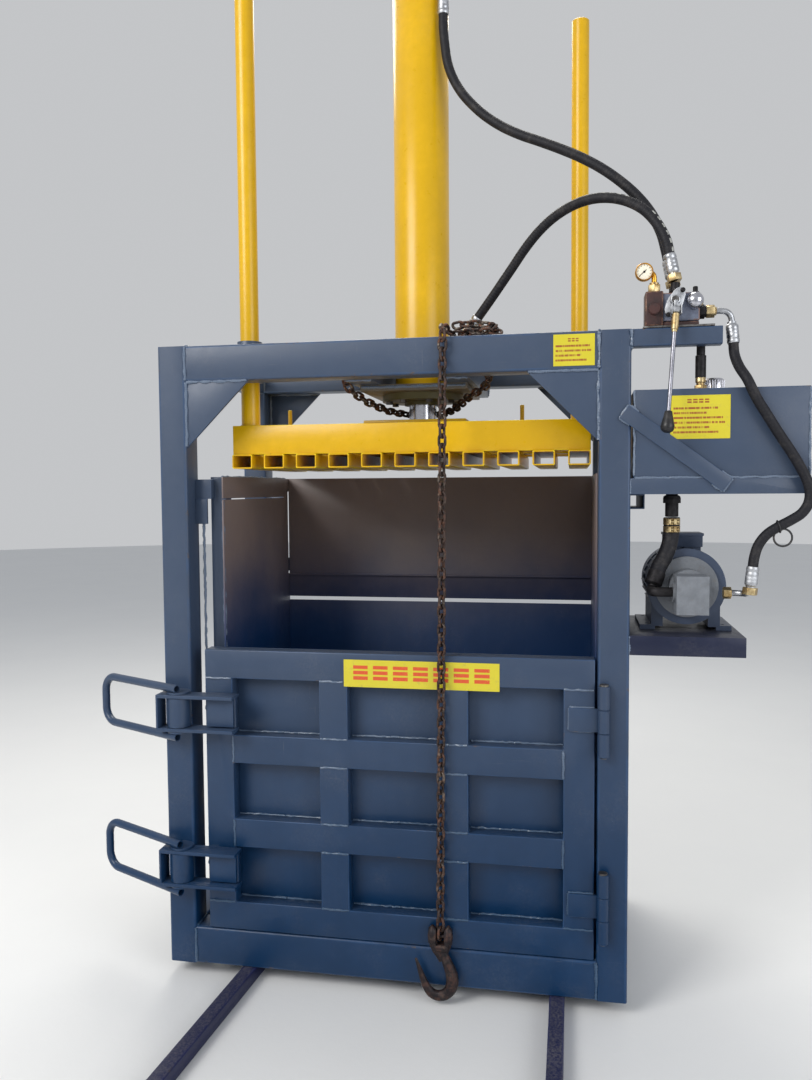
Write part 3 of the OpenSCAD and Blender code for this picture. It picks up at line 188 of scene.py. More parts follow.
def sprayed(name, colour, worn, dust=DUST, dusty=0.3, chips=0.35, gloss=0.38, runs=0.35, lit_top_colour=None,
            heights=(0, 1)):
    """Workshop spray paint on mill steel: patchy, a little dusty, scuffed and chipped at its edges.

    Where a top colour is given, the colour turns into it between two heights above the floor: painted light
    and shade, lighter and greyer high up as if lit, darker and bluer low down as if in shade.
    """
    f = Finish(name)
    patchy = f.cloud(2.6, 5, 0.6)
    fine = f.cloud(38, 4, 0.6)
    run = f.cloud(1.0, 4, 0.6, f.stretched((26, 26, 1.7)))
    tone = patchy*0.55 + fine*0.2 + run*runs*0.5
    base = f.mixed(tone.above(0.34, 0.78), toned(colour, 0.8), toned(colour, 1.16, 0.004))
    if lit_top_colour:
        # Painted light and shade by height: lighter towards the top, darker near the floor.
        painted_light_by_height = (f.axis("Z") + patchy*0.35 - 0.17).above(*heights)
        base = f.mixed(painted_light_by_height, base, f.mixed(tone.above(0.3, 0.8), toned(lit_top_colour, 0.86), lit_top_colour))
    settled = f.facing("Z").above(0.5, 0.95)*0.55 + f.cloud(5.5, 6, 0.68).above(0.47, 0.78)*0.6
    powder = settled*f.cloud(150, 3, 0.7).above(0.3, 0.75)*dusty
    base = f.mixed(powder, base, dust)
    scuff = f.cloud(1.0, 3, 0.6, f.stretched((7, 60, 420), (0.2, 0.5, 0.3))).above(0.69, 0.76)
    scuff = scuff + f.cloud(1.0, 3, 0.6, f.stretched((330, 80, 9), (0.1, -0.4, 0.2))).above(0.7, 0.76)
    scuff = scuff*f.cloud(3.1, 3, 0.5).above(0.5, 0.62)
    base = f.mixed(scuff*0.3, base, dust)
    bare = f.edge()*f.cloud(23, 6, 0.72).above(0.63 - chips*0.1, 0.68)
    specks = (1.0 - f.cells(85).above(0.08, 0.12))*f.cloud(6, 4, 0.7).above(0.54, 0.64)
    base = f.mixed(specks*0.22, base, toned(colour, 1.6, 0.08))
    rusted = f.mixed(f.cloud(60, 4, 0.7).above(0.5, 0.66), worn, toned(worn, 0.6))
    # Lighter paint along the edges: a painted edge highlight, partly rubbed paint.
    edge_highlight_and_rub = f.edge()*f.cloud(8, 4, 0.6).above(0.35, 0.6)*0.3
    base = f.mixed(edge_highlight_and_rub, base, toned(colour, 2.1, 0.02))
    base = f.mixed(bare, base, rusted)
    f.put(Base_Color=base, Roughness=fine*0.22 + powder*0.5 + bare*0.3 + (gloss - 0.1),
          Coat_Weight=0.08, Coat_Roughness=0.22, Specular_IOR_Level=0.38)
    return f.relief((f.cloud(430, 2, 0.5), 0.08), (f.cloud(17, 5, 0.6), 0.5), (bare*-1.0, 0.15)).material


def metal(name, light, dark, rough, grain=900.0, scratched=0.5, marks=0.15, metallic=1.0):
    """Worked or plated metal, with fine scratches, finger marks and a dull film in its patches."""
    f = Finish(name, Metallic=metallic)
    film = f.cloud(46, 5, 0.65)
    grazes = f.cloud(1.0, 2, 0.5, f.stretched((grain, grain*0.12, grain*0.2), (0.3, 0.2, 0.6)))
    smear = f.cloud(11, 4, 0.6).above(0.4, 0.7)
    base = f.mixed(film.above(0.3, 0.72), dark, light)
    f.put(Base_Color=base, Roughness=film*marks*1.4 + grazes*0.12*scratched + smear*marks + rough)
    return f.relief((grazes, 0.02 + scratched*0.03), (f.cloud(160, 3, 0.6), 0.05)).material


def cast(name, colour, shade, dust):
    """Rough sand-cast iron under thin primer."""
    f = Finish(name)
    grit = f.cells(520)
    tone = f.cloud(30, 5, 0.65)
    base = f.mixed(tone.above(0.3, 0.7), shade, colour)
    base = f.mixed(f.cloud(70, 4, 0.7).above(0.56, 0.72)*0.5, base, dust)
    base = f.mixed(f.edge()*f.cloud(50, 4, 0.7).above(0.42, 0.6)*0.7, base, srgb(134, 96, 74))
    f.put(Base_Color=base, Roughness=tone*0.25 + 0.42, Coat_Weight=0.08)
    return f.relief((grit, 0.35), (f.cloud(90, 4, 0.6), 0.5)).material


def rusty(name, bright, rust_share=0.75, scale_dark=srgb(30, 24, 24), scale_light=srgb(72, 58, 52)):
    """Forged chain steel: dark scale, orange rust in the hollows, and pale grey patches, partly rubbed metal
    and partly painted light.
    """
    f = Finish(name)
    scale = f.cloud(120, 6, 0.7)
    rust = f.cloud(55, 5, 0.7).above(0.46, 0.64)
    base = f.mixed(scale.above(0.35, 0.68), scale_dark, scale_light)
    base = f.mixed(rust*rust_share, base, srgb(112, 66, 40))
    base = f.mixed(f.cloud(34, 3, 0.6).above(0.56, 0.68)*bright, base, srgb(150, 138, 124))
    f.put(Base_Color=base, Metallic=0.45 - rust*0.4, Roughness=scale*0.3 + rust*0.2 + 0.34)
    return f.relief((scale, 0.35), (f.cells(380), 0.2)).material


def hose_cover(name):
    """Cloth-marked synthetic rubber with a wrapped weave, dust and one faint row of pale dashes."""
    f = Finish(name)
    run = f.add("ShaderNodeAttribute", {"attribute_name": "run"}, {}, "Vector")
    side, top, along = f.axis("X", run), f.axis("Y", run), f.axis("Z", run)
    turn = f.maths("ARCTAN2", side, top)
    wrap = f.maths("SINE", turn + along*640.0)
    cross = f.maths("SINE", turn*14.0 - along*900.0)
    dust = f.cloud(26, 5, 0.7).above(0.48, 0.74)*f.cloud(240, 3, 0.7)
    base = f.mixed(f.cloud(14, 4, 0.6), srgb(13, 13, 18), srgb(26, 26, 33))
    base = f.mixed(dust*0.4, base, srgb(104, 98, 92))
    dash = (along*42.0).fraction().above(0.42, 0.5)*(along*4.6).fraction().above(0.3, 0.34)
    dash = dash*side.above(0.955, 0.975)
    base = f.mixed(dash*f.cloud(200, 3, 0.7).above(0.36, 0.5)*0.75, base, srgb(196, 196, 188))
    f.put(Base_Color=base, Roughness=f.cloud(90, 3, 0.6)*0.2 + 0.5, Specular_IOR_Level=0.32)
    return f.relief((wrap*0.5 + cross*0.16, 0.28), (f.cloud(600, 2, 0.6), 0.1)).material


def moulded(name, dark, light, rough):
    """Moulded rubber or plastic with a fine pebble grain."""
    f = Finish(name)
    base = f.mixed(f.cloud(40, 4, 0.6), dark, light)
    base = f.mixed(f.cloud(18, 5, 0.7).above(0.5, 0.75)*0.25, base, srgb(110, 102, 94))
    f.put(Base_Color=base, Roughness=f.cloud(120, 3, 0.6)*0.2 + rough)
    return f.relief((f.cells(900), 0.06)).material


def film(name, corner, width, height, rows, heading, ink):
    """Yellow adhesive film printed with plain bars: a heading of blocks and rows of thin dashes."""
    f = Finish(name)
    u = (f.axis("X") - corner.x)/width
    v = (f.axis("Z") - corner.z)/height
    inside = u.above(0.05, 0.055)*(1.0 - u.above(0.94, 0.945))
    low, high = heading["band"]
    head_u = (u - heading["start"])/(heading["end"] - heading["start"])
    in_head = head_u.above(0.0, 0.001)*(1.0 - head_u.above(0.999, 1.0))
    in_head = in_head*v.above(low, low + 0.01)*(1.0 - v.above(high - 0.01, high))
    cell = (head_u*heading["blocks"]).fraction()
    stroke = ((v - low)/(high - low)*heading["strokes"]).fraction()
    print_mask = in_head*cell.above(0.12, 0.15)*(1.0 - cell.above(0.86, 0.89))*stroke.above(0.3, 0.36)
    if rows:
        line = (v - 0.08)/(low - 0.14)*rows
        number = f.maths("FLOOR", line)
        line = line.fraction()
        reach = f.add("ShaderNodeTexWhiteNoise", {"noise_dimensions": "1D"}, {"W": number}, "Value")
        dashes = f.add("ShaderNodeCombineXYZ", {}, {0: u*64.0, 1: number*7.3})
        bars = line.above(0.42, 0.48)*(1.0 - line.above(0.86, 0.92))*inside
        bars = bars*f.cloud(1.0, 1, 0.5, dashes).above(0.4, 0.46)
        bars = bars*(1.0 - (u - reach*0.35 - 0.6).above(0.0, 0.004))
        bars = bars*v.above(0.08, 0.085)*(1.0 - v.above(low - 0.07, low - 0.06))
        print_mask = f.maths("MAXIMUM", print_mask, bars)
    ground = f.mixed(f.cloud(16, 4, 0.6), srgb(198, 184, 30), srgb(210, 196, 46))
    ground = f.mixed(f.cloud(60, 5, 0.7).above(0.56, 0.74)*0.35, ground, srgb(150, 132, 84))
    ground = f.mixed(print_mask*f.cloud(300, 3, 0.7).above(0.28, 0.4)*0.92, ground, ink)
    f.put(Base_Color=ground, Roughness=f.cloud(30, 4, 0.6)*0.2 + 0.28, Coat_Weight=0.25)
    return f.relief((f.cloud(22, 3, 0.6), 0.35)).material


paint = {
    # Slate paint: its dark navy low down is painted shade, its grey-blue top colour higher up is painted
    # light.
    "slate": sprayed("slate_blue_paint", srgb(2, 47, 84), srgb(88, 76, 70), dusty=0.2,
                     lit_top_colour=srgb(62, 76, 98), heights=(0.25, 1.4)),
    # Chamber walls: the navy low down is painted shade; the brown higher up is partly bare worn liner, partly
    # painted light.
    "chamber": sprayed("chamber_paint", srgb(2, 46, 92), srgb(84, 74, 68), dusty=0.2, chips=0.2, gloss=0.46,
                       lit_top_colour=srgb(116, 102, 98), heights=(1.0, 1.5)),
    "skid": sprayed("ultramarine_paint", srgb(9, 18, 66), srgb(70, 62, 60), dusty=0.55, gloss=0.45),
    # The motor shelf: the slate paint again, darker and bluer, as painted shade.
    "shelf": sprayed("slate_in_painted_shade", srgb(14, 24, 54), srgb(60, 54, 52), dusty=0.35),
    # Weld beads: lighter than the slate around them, a painted highlight along the joints, and lighter still
    # higher up as painted light.
    "bead": sprayed("weld_beads_painted_highlight", srgb(58, 84, 112), srgb(110, 104, 100), srgb(176, 178, 180),
                    gloss=0.3, lit_top_colour=srgb(104, 118, 138), heights=(0.25, 1.25)),
    "plate": sprayed("brown_grey_plate", srgb(112, 104, 92), srgb(80, 62, 50), gloss=0.5),
    "olive": sprayed("olive_flange_paint", srgb(104, 98, 60), srgb(70, 56, 44), gloss=0.45),
    "yellow": sprayed("golden_yellow_paint", srgb(230, 180, 2), srgb(120, 88, 44), srgb(196, 172, 120),
                      dusty=0.28, chips=0.18, gloss=0.3, runs=0.15),
    "motor": sprayed("motor_grey_blue_paint", srgb(66, 78, 100), srgb(80, 74, 70), gloss=0.42),
    "zinc": metal("zinc_plate", srgb(206, 208, 212), srgb(150, 152, 156), 0.26),
    "chrome": metal("bright_chrome", srgb(206, 206, 212), srgb(176, 176, 184), 0.1, marks=0.1),
    "lever": metal("lever_rod_steel", srgb(158, 158, 166), srgb(126, 126, 134), 0.22),
    "rod": metal("ground_hard_chrome", srgb(204, 204, 210), srgb(190, 190, 196), 0.13, 500.0, marks=0.06),
    "steel": metal("oily_machined_steel", srgb(132, 130, 128), srgb(78, 74, 72), 0.3),
    "dark": metal("black_oxide_steel", srgb(52, 50, 52), srgb(26, 25, 27), 0.38, metallic=0.7),
    "brass": metal("passivated_brass", srgb(206, 188, 146), srgb(152, 124, 80), 0.24),
    "gold": metal("gold_gauge_case", srgb(232, 178, 74), srgb(168, 112, 36), 0.16),
    "maroon": cast("red_brown_casting", srgb(66, 32, 28), srgb(40, 20, 20), srgb(80, 50, 42)),
    "block": cast("grey_blue_casting", srgb(108, 116, 134), srgb(76, 82, 100), srgb(92, 92, 100)),
    "pump": cast("pump_casting", srgb(118, 122, 128), srgb(102, 106, 112), srgb(112, 106, 100)),
    "chain": rusty("rusty_chain", 0.3, 0.5),
    # The chain resting on the beam: the same chain with many pale patches, painted sunlight.
    "sunlit_chain": rusty("chain_painted_sunlight", 0.8),
    "hook": rusty("forged_hook", 0.08, 0.24, srgb(18, 15, 20), srgb(44, 34, 36)),
    "hose": hose_cover("hose_cover"),
    "rubber": moulded("moulded_rubber", srgb(20, 20, 23), srgb(38, 38, 42), 0.45),
    "dial": moulded("dial_face", srgb(236, 228, 204), srgb(246, 240, 222), 0.3),
    "knob": moulded("knob_plastic", srgb(16, 16, 18), srgb(30, 30, 33), 0.3),
}


# Shapes

# The angle in degrees from which an edge shows as sharp
CREASE = 40


def edge_layer(bm):
    """The corner colours that tell the paint where an edge is: black until a bevel marks its faces."""
    layer = bm.loops.layers.color.get("edge")
    if layer is None:
        layer = bm.loops.layers.color.new("edge")
        for face in bm.faces:
            for loop in face.loops:
                loop[layer] = (0, 0, 0, 1)
    return layer


def absorb(whole, shape):
    """Adds a shape to a whole, and uses it up."""
    edge_layer(shape)
    scratch = bpy.data.meshes.new("scratch")
    shape.to_mesh(scratch)
    whole.from_mesh(scratch)
    bpy.data.meshes.remove(scratch)
    shape.free()


def joined(*shapes):
    """One shape out of several, each of which is used up."""
    whole = bmesh.new()
    for shape in shapes:
        absorb(whole, shape)
    return whole


def marked(bm, faces):
    """Rounds the faces that a bevel made, and marks them as an edge for the paint."""
    layer = edge_layer(bm)
    for face in faces:
        face.smooth = True
        for loop in face.loops:
            loop[layer] = (1, 1, 1, 1)


def rounded(bm, edges, radius, steps=2):
    made = bmesh.ops.bevel(bm, geom=list(edges), offset=radius*MM, offset_type="OFFSET", segments=steps,
                           profile=0.5, affect="EDGES", clamp_overlap=True, material=-1)
    marked(bm, made["faces"])
    return bm


def solid(middle, size, radius=1.5, steps=2):
    """A block round its middle, in metres, with its edges rounded."""
    bm = bmesh.new()
    bmesh.ops.create_cube(bm, size=1, matrix=Matrix.Translation(middle) @ Matrix.Diagonal((*size, 1)))
    return rounded(bm, bm.edges[:], radius, steps) if radius else bm


def block(a, b, radius=1.5, steps=2):
    """A block between two corners, in millimetres, with its edges rounded."""
    low, high = at(*a), at(*b)
    return solid((low + high)/2, high - low, radius, steps)


def square_tube(a, b, wall, axis, radius=8):
    """A rolled square tube: rounded outside, open at both ends along its axis."""
    bm = block(a, b, 0)
    ends = [f for f in bm.faces if abs(f.normal[axis]) > 0.9]
    bmesh.ops.delete(bm, geom=ends, context="FACES_ONLY")
    long_edges = [e for e in bm.edges if abs((e.verts[1].co - e.verts[0].co)[axis]) > 1e-6]
    rounded(bm, long_edges, radius, 3)
    bmesh.ops.recalc_face_normals(bm, faces=bm.faces[:])
    middle = (at(*a) + at(*b))/2
    face = max(bm.faces, key=lambda f: f.calc_area())
    if (face.calc_center_median() - middle).dot(face.normal) < 0:
        bmesh.ops.reverse_faces(bm, faces=bm.faces[:])
    bmesh.ops.solidify(bm, geom=bm.faces[:], thickness=wall*MM)
    return bm


def standing(start, direction):
    """The frame that stands at start with its Z along direction."""
    return Matrix.Translation(start) @ Vector(direction).to_track_quat("Z", "Y").to_matrix().to_4x4()


def turned(profile, start, direction, steps=40):
    """A turned shape: profile of (radius, height) pairs in millimetres, spun about its axis."""
    bm = bmesh.new()
    verts = [bm.verts.new((r*MM, 0, h*MM)) for r, h in profile]
    edges = [bm.edges.new(pair) for pair in zip(verts, verts[1:])]
    bmesh.ops.spin(bm, geom=verts + edges, cent=(0, 0, 0), axis=(0, 0, 1), angle=tau, steps=steps,
                   use_merge=True, use_duplicate=False)
    bmesh.ops.remove_doubles(bm, verts=bm.verts[:], dist=1e-6)
    bmesh.ops.recalc_face_normals(bm, faces=bm.faces[:])
    for face in bm.faces:
        face.smooth = True
    bm.transform(standing(start, direction))
    return bm


def rod(start, end, d, soft=1.0):
    """A round bar with its ends chamfered."""
    way = end - start
    tall = way.length/MM
    r = d/2
    s = min(soft, r*0.4, tall*0.4)
    return turned([(0, 0), (r - s, 0), (r, s), (r, tall - s), (r - s, tall), (0, tall)], start, way)


def hexagon(start, end, flats, chamfer=1.2):
    """A hexagon nut or head, chamfered like a turned one."""
    way = end - start
    r = flats*MM/sqrt(3)
    bm = bmesh.new()
    bmesh.ops.create_cone(bm, cap_ends=True, segments=6, radius1=r, radius2=r, depth=way.length,
                          matrix=Matrix.Translation((0, 0, way.length/2)))
    rounded(bm, bm.edges[:], chamfer, 2)
    bm.transform(standing(start, way))
    return bm


def swept(points, radii, sides=16, flatten=1.0):
    """A round section carried along points. Each corner keeps its side and its way along in "run"."""
    bm = bmesh.new()
    run = bm.verts.layers.float_vector.new("run")
    n = len(points)
    ways = [(points[min(i + 1, n - 1)] - points[max(i - 1, 0)]).normalized() for i in range(n)]
    side = ways[0].orthogonal().normalized()
    if abs(ways[0].y) < 0.9:
        side = ways[0].cross(Vector((0, 1, 0))).normalized()
    places, lengths, total = [], [], 0.0
    for i in range(n):
        if i:
            side = ways[i - 1].rotation_difference(ways[i]) @ side
            total += (points[i] - points[i - 1]).length
        up = ways[i].cross(side)
        turn = Matrix((side, up*flatten, ways[i])).transposed().to_4x4()
        swell = Matrix.Diagonal((radii[i]*MM, radii[i]*MM, 1, 1))
        places.append(Matrix.Translation(points[i]) @ turn @ swell)
        lengths.append(total)
    ring = bmesh.ops.create_circle(bm, segments=sides, radius=1)["verts"]
    angles = {v: atan2(v.co.y, v.co.x) for v in ring}
    edges = bm.edges[:]
    first = edges[:]
    for v in ring:
        v[run] = (cos(angles[v]), sin(angles[v]), 0.0)
    bmesh.ops.transform(bm, matrix=places[0], verts=ring)
    back = places[0].inverted()
    for i in range(1, n):
        made = bmesh.ops.extrude_edge_only(bm, edges=edges)["geom"]
        ring = [g for g in made if isinstance(g, bmesh.types.BMVert)]
        fresh = set(ring)
        edges = [g for g in made if isinstance(g, bmesh.types.BMEdge) and set(g.verts) <= fresh]
        bmesh.ops.transform(bm, matrix=places[i] @ back, verts=ring)
        back = places[i].inverted()
        for v in ring:
            v[run] = (v[run][0], v[run][1], lengths[i])
    for face in bm.faces:
        face.smooth = True
    bmesh.ops.contextual_create(bm, geom=edges)
    bmesh.ops.contextual_create(bm, geom=first)
    bmesh.ops.recalc_face_normals(bm, faces=bm.faces[:])
    return bm


def curve_through(points, step=10.0):
    """A smooth line through the points, in metres, with a point about every step millimetres."""
    line = []
    n = len(points)
    for i in range(n - 1):
        p0, p1, p2, p3 = (points[max(0, min(n - 1, k))] for k in (i - 1, i, i + 1, i + 2))
        parts = max(1, round((p2 - p1).length/(step*MM)))
        for k in range(parts):
            t = k/parts
            line.append(0.5*(2*p1 + (p2 - p0)*t + (2*p0 - 5*p1 + 4*p2 - p3)*t*t
                             + (3*p1 - p0 - 3*p2 + p3)*t**3))
    return line + [points[-1]]


def pipe(points, d, step=6.0, sides=16):
    line = curve_through(points, step)
    return swept(line, [d/2]*len(line), sides)


def weld(a, b, width=7.0, seed=1):
    """A hand-laid bead from a to b: a low rippled rope with a wandering width."""
    start, end = at(*a), at(*b)
    count = max(4, int((end - start).length/(3.6*MM)))
    points, radii = [], []
    for i in range(count + 1):
        p = start.lerp(end, i/count)
        wander = noise.noise(p*41 + Vector((seed, 0, 0)))
        points.append(p + Vector((noise.noise(p*60), noise.noise(p*70), noise.noise(p*80)))*0.0022)
        radii.append(width/2*(0.8 + 0.3*(i % 2) + 0.5*wander))
    return swept(points, radii, 7)


def seams(pairs, width=7.0):
    return [weld(a, b, width, k) for k, (a, b) in enumerate(pairs)]


def softened(node, radius, steps=2, angle=30):
    """A CAD node's shape with its doubles merged, its flat faces joined and its edges rounded."""
    bm = bmesh.new()
    bm.from_mesh(nodes[node].data)
    bmesh.ops.remove_doubles(bm, verts=bm.verts[:], dist=2e-5)
    bmesh.ops.dissolve_limit(bm, angle_limit=radians(1), verts=bm.verts[:], edges=bm.edges[:])
    sharp = [e for e in bm.edges if len(e.link_faces) == 2 and e.calc_face_angle(0) > radians(angle)]
    return rounded(bm, sharp, radius, steps)


def finish(name, body, parts, slot, replaced=()):
    """Makes a piece out of the shapes under each finish, hangs it on its body and hides the CAD nodes it
    replaces.
    """
    whole = bmesh.new()
    mesh = bpy.data.meshes.new(name)
    for k, (coat, shapes) in enumerate(parts.items()):
        for shape in shapes:
            for face in shape.faces:
                face.material_index = k
            absorb(whole, shape)
        mesh.materials.append(paint[coat])
    whole.to_mesh(mesh)
    whole.free()
    mesh.set_sharp_from_angle(angle=radians(CREASE))
    piece = bpy.data.objects.new(name, mesh)
    bpy.context.scene.collection.objects.link(piece)
    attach(piece, body)
    if replaced:
        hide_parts(*replaced)
    return piece


def bolt(start, direction, flats, height, washer=True):
    """A hexagon head with its washer and the end of the shank, along direction from start."""
    way = Vector(direction).normalized()
    parts = [hexagon(start + way*2*MM, start + way*(2 + height)*MM, flats, 0.8)]
    if washer:
        parts.append(rod(start, start + way*2.2*MM, flats*1.35, 0.4))
    return joined(*parts)


def crimped(tip, way, d, length=56):
    """A crimped ferrule over a hose end, from the hose's tip along way."""
    r = d/2
    skirt = r + 3.2
    profile = [(r - 0.5, -5), (r + 1.6, -5), (r + 2.4, -3.5), (skirt, 0)]
    for z, groove in ((7, 1.1), (20, 0.35), (31, 0.35)):
        profile += [(skirt, z), (skirt - groove, z + 1.5), (skirt - groove, z + 3.5), (skirt, z + 5)]
    profile += [(skirt, length - 11), (r + 0.4, length - 7), (r - 1.5, length - 5), (r - 1.5, length),
                (0, length)]
    return turned(profile, tip, way, 32)


# Portal and base

# The portal in millimetres: half its width, its square tubes and the levels of its beams
HALF, POST, TUBE_WALL = 720, 90, 6
TOP, BEAM_Z, LOW_BEAM = 2015, 1905, 1945
BASE, FLOOR_Z = 45, 165
REAR, BACK = 730, 820
INNER = HALF - POST

# The cylinder's axis
AXIS_X, AXIS_Y = 52, 410

portal = []
for x in (-HALF, INNER):
    for y in (0, REAR):
        portal.append(square_tube((x, y, BASE), (x + POST, y + POST, TOP), TUBE_WALL, 2))
        portal.append(block((x + 6, y + 6, TOP - 6), (x + POST - 6, y + POST - 6, TOP - 1), 1))
    for z0, z1 in ((LOW_BEAM, TOP), (BASE, FLOOR_Z)):
        portal.append(square_tube((x, POST, z0), (x + POST, REAR, z1), TUBE_WALL, 1))
portal.append(square_tube((-INNER, 0, BEAM_Z), (INNER, POST, TOP), TUBE_WALL, 0))
portal.append(square_tube((-INNER, REAR, LOW_BEAM), (INNER, BACK, TOP), TUBE_WALL, 0))
for y in (0, REAR):
    portal.append(square_tube((-INNER, y, BASE), (INNER, y + POST, FLOOR_Z), TUBE_WALL, 0))
finish("portal_tubes", "frame", {"slate": portal}, "slate_paint", ["posts", "top_beams", "base_beams"])
finish("gusset_plates", "frame", {"slate": [softened("gussets", 1.5)]}, "slate_paint", ["gussets"])
finish("bracket_tube", "frame", {"slate": [square_tube((HALF, 0, 1965), (966, 50, TOP), 4, 0, 5)]},
       "slate_paint", ["valve_bracket"])

SKID, SKID_WALL, SKID_FRONT, SKID_REAR = 45, 4, -620, 960
SKID_LEFT, SKID_RIGHT, SKID_TURN = -455, 516, radians(-4.9)
skids = [square_tube((x - SKID/2, SKID_FRONT, 0), (x + SKID/2, SKID_REAR, SKID), SKID_WALL, 1, 5)
         for x in (SKID_LEFT, SKID_RIGHT)]
skid_middle = Matrix.Translation(at(SKID_LEFT, 0, 0))
skids[0].transform(skid_middle @ Matrix.Rotation(SKID_TURN, 4, "Z") @ skid_middle.inverted())
finish("skid_tubes", "frame", {"skid": skids}, "skid_paint", ["skids"])

frame_seams = []
for side in (-1, 1):
    x = side*INNER
    for y in (-0.5, BACK + 0.5):
        beam = BEAM_Z if y < 0 else LOW_BEAM
        frame_seams += [((x, y, beam + 4), (x, y, TOP - 4)), ((x, y, BASE + 4), (x, y, FLOOR_Z - 4))]
    for y in (5.5, 803.5):
        beam = BEAM_Z if y < 100 else LOW_BEAM
        frame_seams += [((x - side*2, y, beam - 1), (x - side*200, y, beam - 1)),
                        ((x - side, y, beam - 2), (x - side, y, beam - 200))]
    for x_side in (side*HALF, side*INNER):
        for y in (POST, REAR):
            frame_seams += [((x_side, y, LOW_BEAM + 4), (x_side, y, TOP - 4)),
                            ((x_side, y, BASE + 4), (x_side, y, FLOOR_Z - 4))]
    for y in (POST, REAR):
        outer, inner = side*(HALF - 8), side*(INNER + 8)
        frame_seams += [((outer, y, z), (inner, y, z)) for z in (LOW_BEAM, FLOOR_Z, TOP)]
    for y0, y1 in ((0, POST), (REAR, BACK)):
        frame_seams += [((x, y0 + 8, z), (x, y1 - 8, z)) for z in (TOP, FLOOR_Z)]
frame_seams += [((HALF, -0.5, 1969), (HALF, -0.5, 2011)), ((HALF + 0.5, 6, 1965), (HALF + 0.5, 44, 1965))]

# The flat brace over the tank, with a bead round each end
brace_start, brace_end = Vector((700, 0, 1782)), Vector((982, 0, 1572))
along_brace = (brace_end - brace_start).normalized()
across_brace = Vector((-along_brace.z, 0, along_brace.x))*22
for tip, way in ((brace_start, along_brace), (brace_end, -along_brace)):
    high, low = tip + across_brace + FRONT*3, tip - across_brace + FRONT*3
    corners = [high + way*34, high, low, low + way*34]
    frame_seams += list(zip(corners, corners[1:]))

for x in (-606, -540):
    frame_seams.append(((x, 70, 170), (x, 70, 1534)))
for side in (-1, 1):
    beam_x = AXIS_X + side*149.5
    for edge in (-45, 45):
        frame_seams += [((beam_x + edge, y, BEAM_Z + 4), (beam_x + edge, y, TOP - 4)) for y in (POST, REAR)]
    frame_seams.append(((beam_x - 40, POST, BEAM_Z), (beam_x + 40, POST, BEAM_Z)))
for y in (220, 600):
    frame_seams.append(((-118, y, 1896), (222, y, 1896)))
finish("frame_welds", "frame", {"bead": seams(frame_seams, 9)}, "slate_paint")

# The finish of each CAD node

coats = {
    "slate": ["crosshead", "chamber_frame", "hinge_knuckles", "latch_drums", "tank", "tank_supports",
              "door_skin", "hinge_leaves", "door_catches", "upper_handle", "upper_loop", "lower_handle",
              "lower_loop", "door_grid"],
    "chamber": ["chamber_floor", "left_wall", "right_wall", "rear_wall"],
    "plate": ["cylinder_plate"],
    "olive": ["head_gland"],
    "shelf": ["motor_shelf"],
    "yellow": ["barrel", "end_cap", "platen_channels", "platen_tubes", "guide_tubes"],
    "rod": ["rod"],
    "steel": ["flange_bolts", "hinge_pins", "piston", "idler_gear", "motor_rotor", "valve_spool"],
    "pump": ["pump_body"],
    "motor": ["motor_housing", "fan_cover", "terminal_box"],
    "rubber": ["piston_seals", "suction_hose"],
    "zinc": ["hose_fittings", "tank_fittings", "tank_cap", "valve_cover"],
    "chain": ["chain_hanging"],
    "sunlit_chain": ["chain_rest"],
    "hook": ["hook"],
    "maroon": ["valve_body"],
    "gold": ["gauge"],
    "chrome": ["valve_lever"],
    "hose": ["upper_hose", "lower_hose", "pressure_hose"],
}
coat_of = {}
for coat, names in coats.items():
    for name in names:
        nodes[name].data.materials.clear()
        nodes[name].data.materials.append(paint[coat])
        coat_of[name] = coat

# Nodes that keep their shape and get rounded edges, with each radius
EDGED = {"door_grid": 3, "door_skin": 1.5, "door_catches": 1.5, "upper_loop": 1.2, "lower_loop": 1.2,
         "crosshead": 2.5, "chamber_frame": 2, "tank": 3, "tank_supports": 2.5, "left_wall": 0.8,
         "right_wall": 0.8, "rear_wall": 0.8, "cylinder_plate": 2, "motor_shelf": 3, "terminal_box": 2,
         "platen_channels": 2}
record = frame["record"]
slot_of = {part["node"]: part["material_slot"] for part in record["subparts"]}
body_of = {name: body for body, members in record["behaviour"]["bodies"].items() for name in members}
for name, radius in EDGED.items():
    finish(name + "_edged", body_of[name], {coat_of[name]: [softened(name, radius)]}, slot_of[name], [name])

PLATEN_TUBES, TUBE_PITCH, TUBE_WIDTH = 11, 106.5, 67
tubes = []
for k in range(PLATEN_TUBES):
    x = -521.5 + k*TUBE_PITCH
    tubes.append(square_tube((x, 108, 1636), (x + TUBE_WIDTH, 712, 1681), 4, 1, 5))
finish("platen_rounded_tubes", "ram", {"yellow": tubes}, "yellow_paint", ["platen_tubes"])

# Hoses: the diameter over the cover, and the route from the cylinder or the valve to the other end

